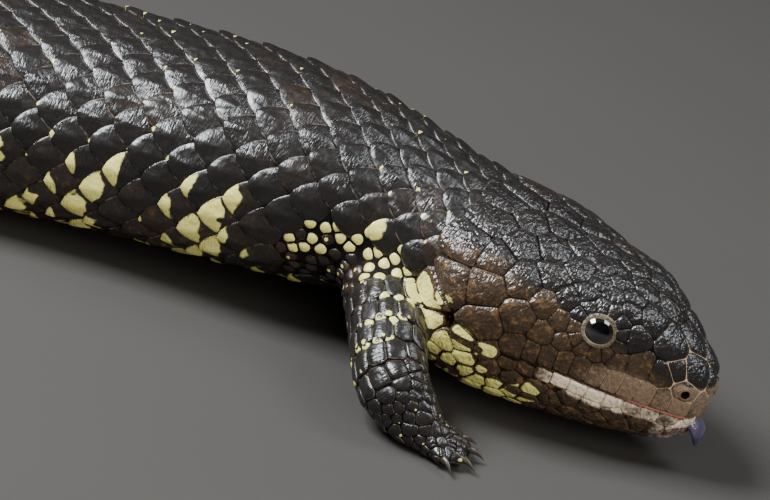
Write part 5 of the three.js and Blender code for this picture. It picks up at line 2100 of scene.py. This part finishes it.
class StageSettings(bpy.types.PropertyGroup):
    azimuth: FloatProperty(
        name="Azimuth", description="Turn of the view", default=radians(6.25), subtype="ANGLE"
    )
    elevation: FloatProperty(
        name="Elevation", description="Height of the view", default=radians(23.5), subtype="ANGLE"
    )
    roll: FloatProperty(
        name="Roll", description="Tilt of the picture", default=radians(16), subtype="ANGLE"
    )
    distance: FloatProperty(name="Distance", description="From lens to eye", default=0.6, unit="LENGTH")
    lens: FloatProperty(name="Lens", description="Focal length in mm", default=134.1)
    lamp_distance: FloatProperty(name="Lamps", description="Lamps' distance", default=0.9, unit="LENGTH")
    key_power: FloatProperty(name="Key", description="Power of the main lamp, in W", default=30)
    side_power: FloatProperty(name="Side", description="Power of the side lamp, in W", default=7)
    front_power: FloatProperty(name="Front", description="Power of the front lamp, in W", default=17)


def colour(name, description, default):
    return FloatVectorProperty(name=name, description=description, default=default, subtype="COLOR")


class ColourSettings(bpy.types.PropertyGroup):
    near_black: colour("Back", "Dark horn of the scales and the crown", (0.0105, 0.0092, 0.0086))
    dark_brown: colour("Flank", "Brown of the scales, dark horn of the jaw", (0.030, 0.019, 0.012))
    brown: colour("Head", "Brown of the head's shields", (0.031, 0.020, 0.012))
    rust: colour("Rust", "Specks in the brown", (0.10, 0.055, 0.022))
    tan: colour("Tan", "Pale flecks of the scales and the snout", (0.135, 0.093, 0.060))
    cream: colour("Lip", "Pale lower lip", (0.54, 0.45, 0.34))
    yellow: colour("Yellow", "The bands and spots", (0.52, 0.48, 0.13))
    pale_yellow: colour("Pale yellow", "Mottling of the bands and spots", (0.58, 0.54, 0.20))
    # The colour of the painted highlight on the edges of plates and scales.
    edge_highlight: colour("Edge highlight", "Edges of plates and scales", (0.12, 0.10, 0.085))


# What the operators share: the search tree and points of the smooth skin.
shared = {}


def need(key):
    if key not in shared:
        raise RuntimeError(f"make {key} first")
    return shared[key]


class SKINK_OT_skin(bpy.types.Operator):
    """Makes the skin over the head, body, legs and feet"""

    bl_idname = "skink.skin"
    bl_label = "Skin"

    def execute(self, context):
        skin = fuse_flesh(context.scene.skink_skin.voxel / MM)
        refine_head(skin)
        shared["the skin"] = tree_of(skin), coordinates(skin.data) / MM
        carve_head(skin)
        paint_marks(skin.data, skin_marks(coordinates(skin.data) / MM))
        settle(skin, skin_material(context.scene.skink_colours))
        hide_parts(*FLESH)
        return {"FINISHED"}


class SKINK_OT_scales(bpy.types.Operator):
    """Lays the scales of the body, the legs and the feet"""

    bl_idname = "skink.scales"
    bl_label = "Scales"

    def execute(self, context):
        tree, points = need("the skin")
        settings = context.scene.skink_scales
        material = scale_material(context.scene.skink_colours)
        pieces, body = body_scales(tree, settings)
        legs, places = leg_scales(tree, settings)
        small = granules(tree, points, body, places, settings.granule)
        for piece in pieces + legs + [small]:
            settle(piece, material)
        return {"FINISHED"}


class SKINK_OT_shields(bpy.types.Operator):
    """Lays the shields of the head, the lips and the jaw"""

    bl_idname = "skink.shields"
    bl_label = "Head shields"

    def execute(self, context):
        tree, points = need("the skin")
        colours = context.scene.skink_colours
        upper = shield_material("Head shields", colours, colours.near_black, colours.tan)
        lower = shield_material("Jaw shields", colours, colours.dark_brown, colours.cream)
        for piece, slot in head_shields(tree, points, context.scene.skink_head):
            settle(piece, lower if slot == "jaw_hide" else upper)
        return {"FINISHED"}


class SKINK_OT_mouth(bpy.types.Operator):
    """Makes the mouth's lining and the tongue"""

    bl_idname = "skink.mouth"
    bl_label = "Mouth"

    def execute(self, context):
        tree, _ = need("the skin")
        settle(mouth_lining(tree), mouth_material())
        tongue = settle(make_tongue(), tongue_material())
        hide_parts("tongue")
        return {"FINISHED"}


class SKINK_OT_eyes(bpy.types.Operator):
    """Makes the two eyes and their lids"""

    bl_idname = "skink.eyes"
    bl_label = "Eyes"

    def execute(self, context):
        eye, lid = eye_material(), lid_material()
        for side, name in ((1, "left"), (-1, "right")):
            ball = settle(make_eye(side, f"eyeball_{name}"), eye)
            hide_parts(f"eye_{name}")
            settle(make_lids(side, f"lids_{name}"), lid)
        return {"FINISHED"}


class SKINK_OT_claws(bpy.types.Operator):
    """Makes the claws of the four feet"""

    bl_idname = "skink.claws"
    bl_label = "Claws"

    def execute(self, context):
        material = claw_material()
        for leg, limb in LIMBS.items():
            foot = leg.replace("leg", "")
            claws = settle(make_claws(f"claws_{foot}", limb), material)
            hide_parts(*[f"claw_{foot}_{number}" for number in range(1, len(DIGITS) + 1)])
        return {"FINISHED"}


class SKINK_OT_stage(bpy.types.Operator):
    """Sets the floor, the lamps and the camera"""

    bl_idname = "skink.stage"
    bl_label = "Stage"

    def execute(self, context):
        build_stage(context.scene.skink_stage)
        return {"FINISHED"}


GROUPS = {
    "skink_skin": SkinSettings,
    "skink_scales": ScaleSettings,
    "skink_head": HeadSettings,
    "skink_colours": ColourSettings,
    "skink_stage": StageSettings,
}
OPERATORS = (
    SKINK_OT_skin,
    SKINK_OT_scales,
    SKINK_OT_shields,
    SKINK_OT_mouth,
    SKINK_OT_eyes,
    SKINK_OT_claws,
    SKINK_OT_stage,
)


class SKINK_PT_panel(bpy.types.Panel):
    """The pieces of the model and their settings"""

    bl_idname = "SKINK_PT_panel"
    bl_label = "Shingleback"
    bl_space_type = "VIEW_3D"
    bl_region_type = "UI"
    bl_category = "Shingleback"

    def draw(self, context):
        for operator in OPERATORS:
            self.layout.operator(operator.bl_idname)
        for name, group in GROUPS.items():
            box = self.layout.box()
            for key in group.__annotations__:
                box.prop(getattr(context.scene, name), key)


def register():
    for kind in (*GROUPS.values(), *OPERATORS, SKINK_PT_panel):
        bpy.utils.register_class(kind)
    for name, group in GROUPS.items():
        setattr(bpy.types.Scene, name, PointerProperty(type=group))


def unregister():
    for name in GROUPS:
        delattr(bpy.types.Scene, name)
    for kind in reversed((*GROUPS.values(), *OPERATORS, SKINK_PT_panel)):
        bpy.utils.unregister_class(kind)


def main():
    register()
    bpy.ops.skink.skin()
    bpy.ops.skink.scales()
    bpy.ops.skink.shields()
    bpy.ops.skink.mouth()
    bpy.ops.skink.eyes()
    bpy.ops.skink.claws()
    bpy.ops.skink.stage()


if __name__ == "__main__":
    main()
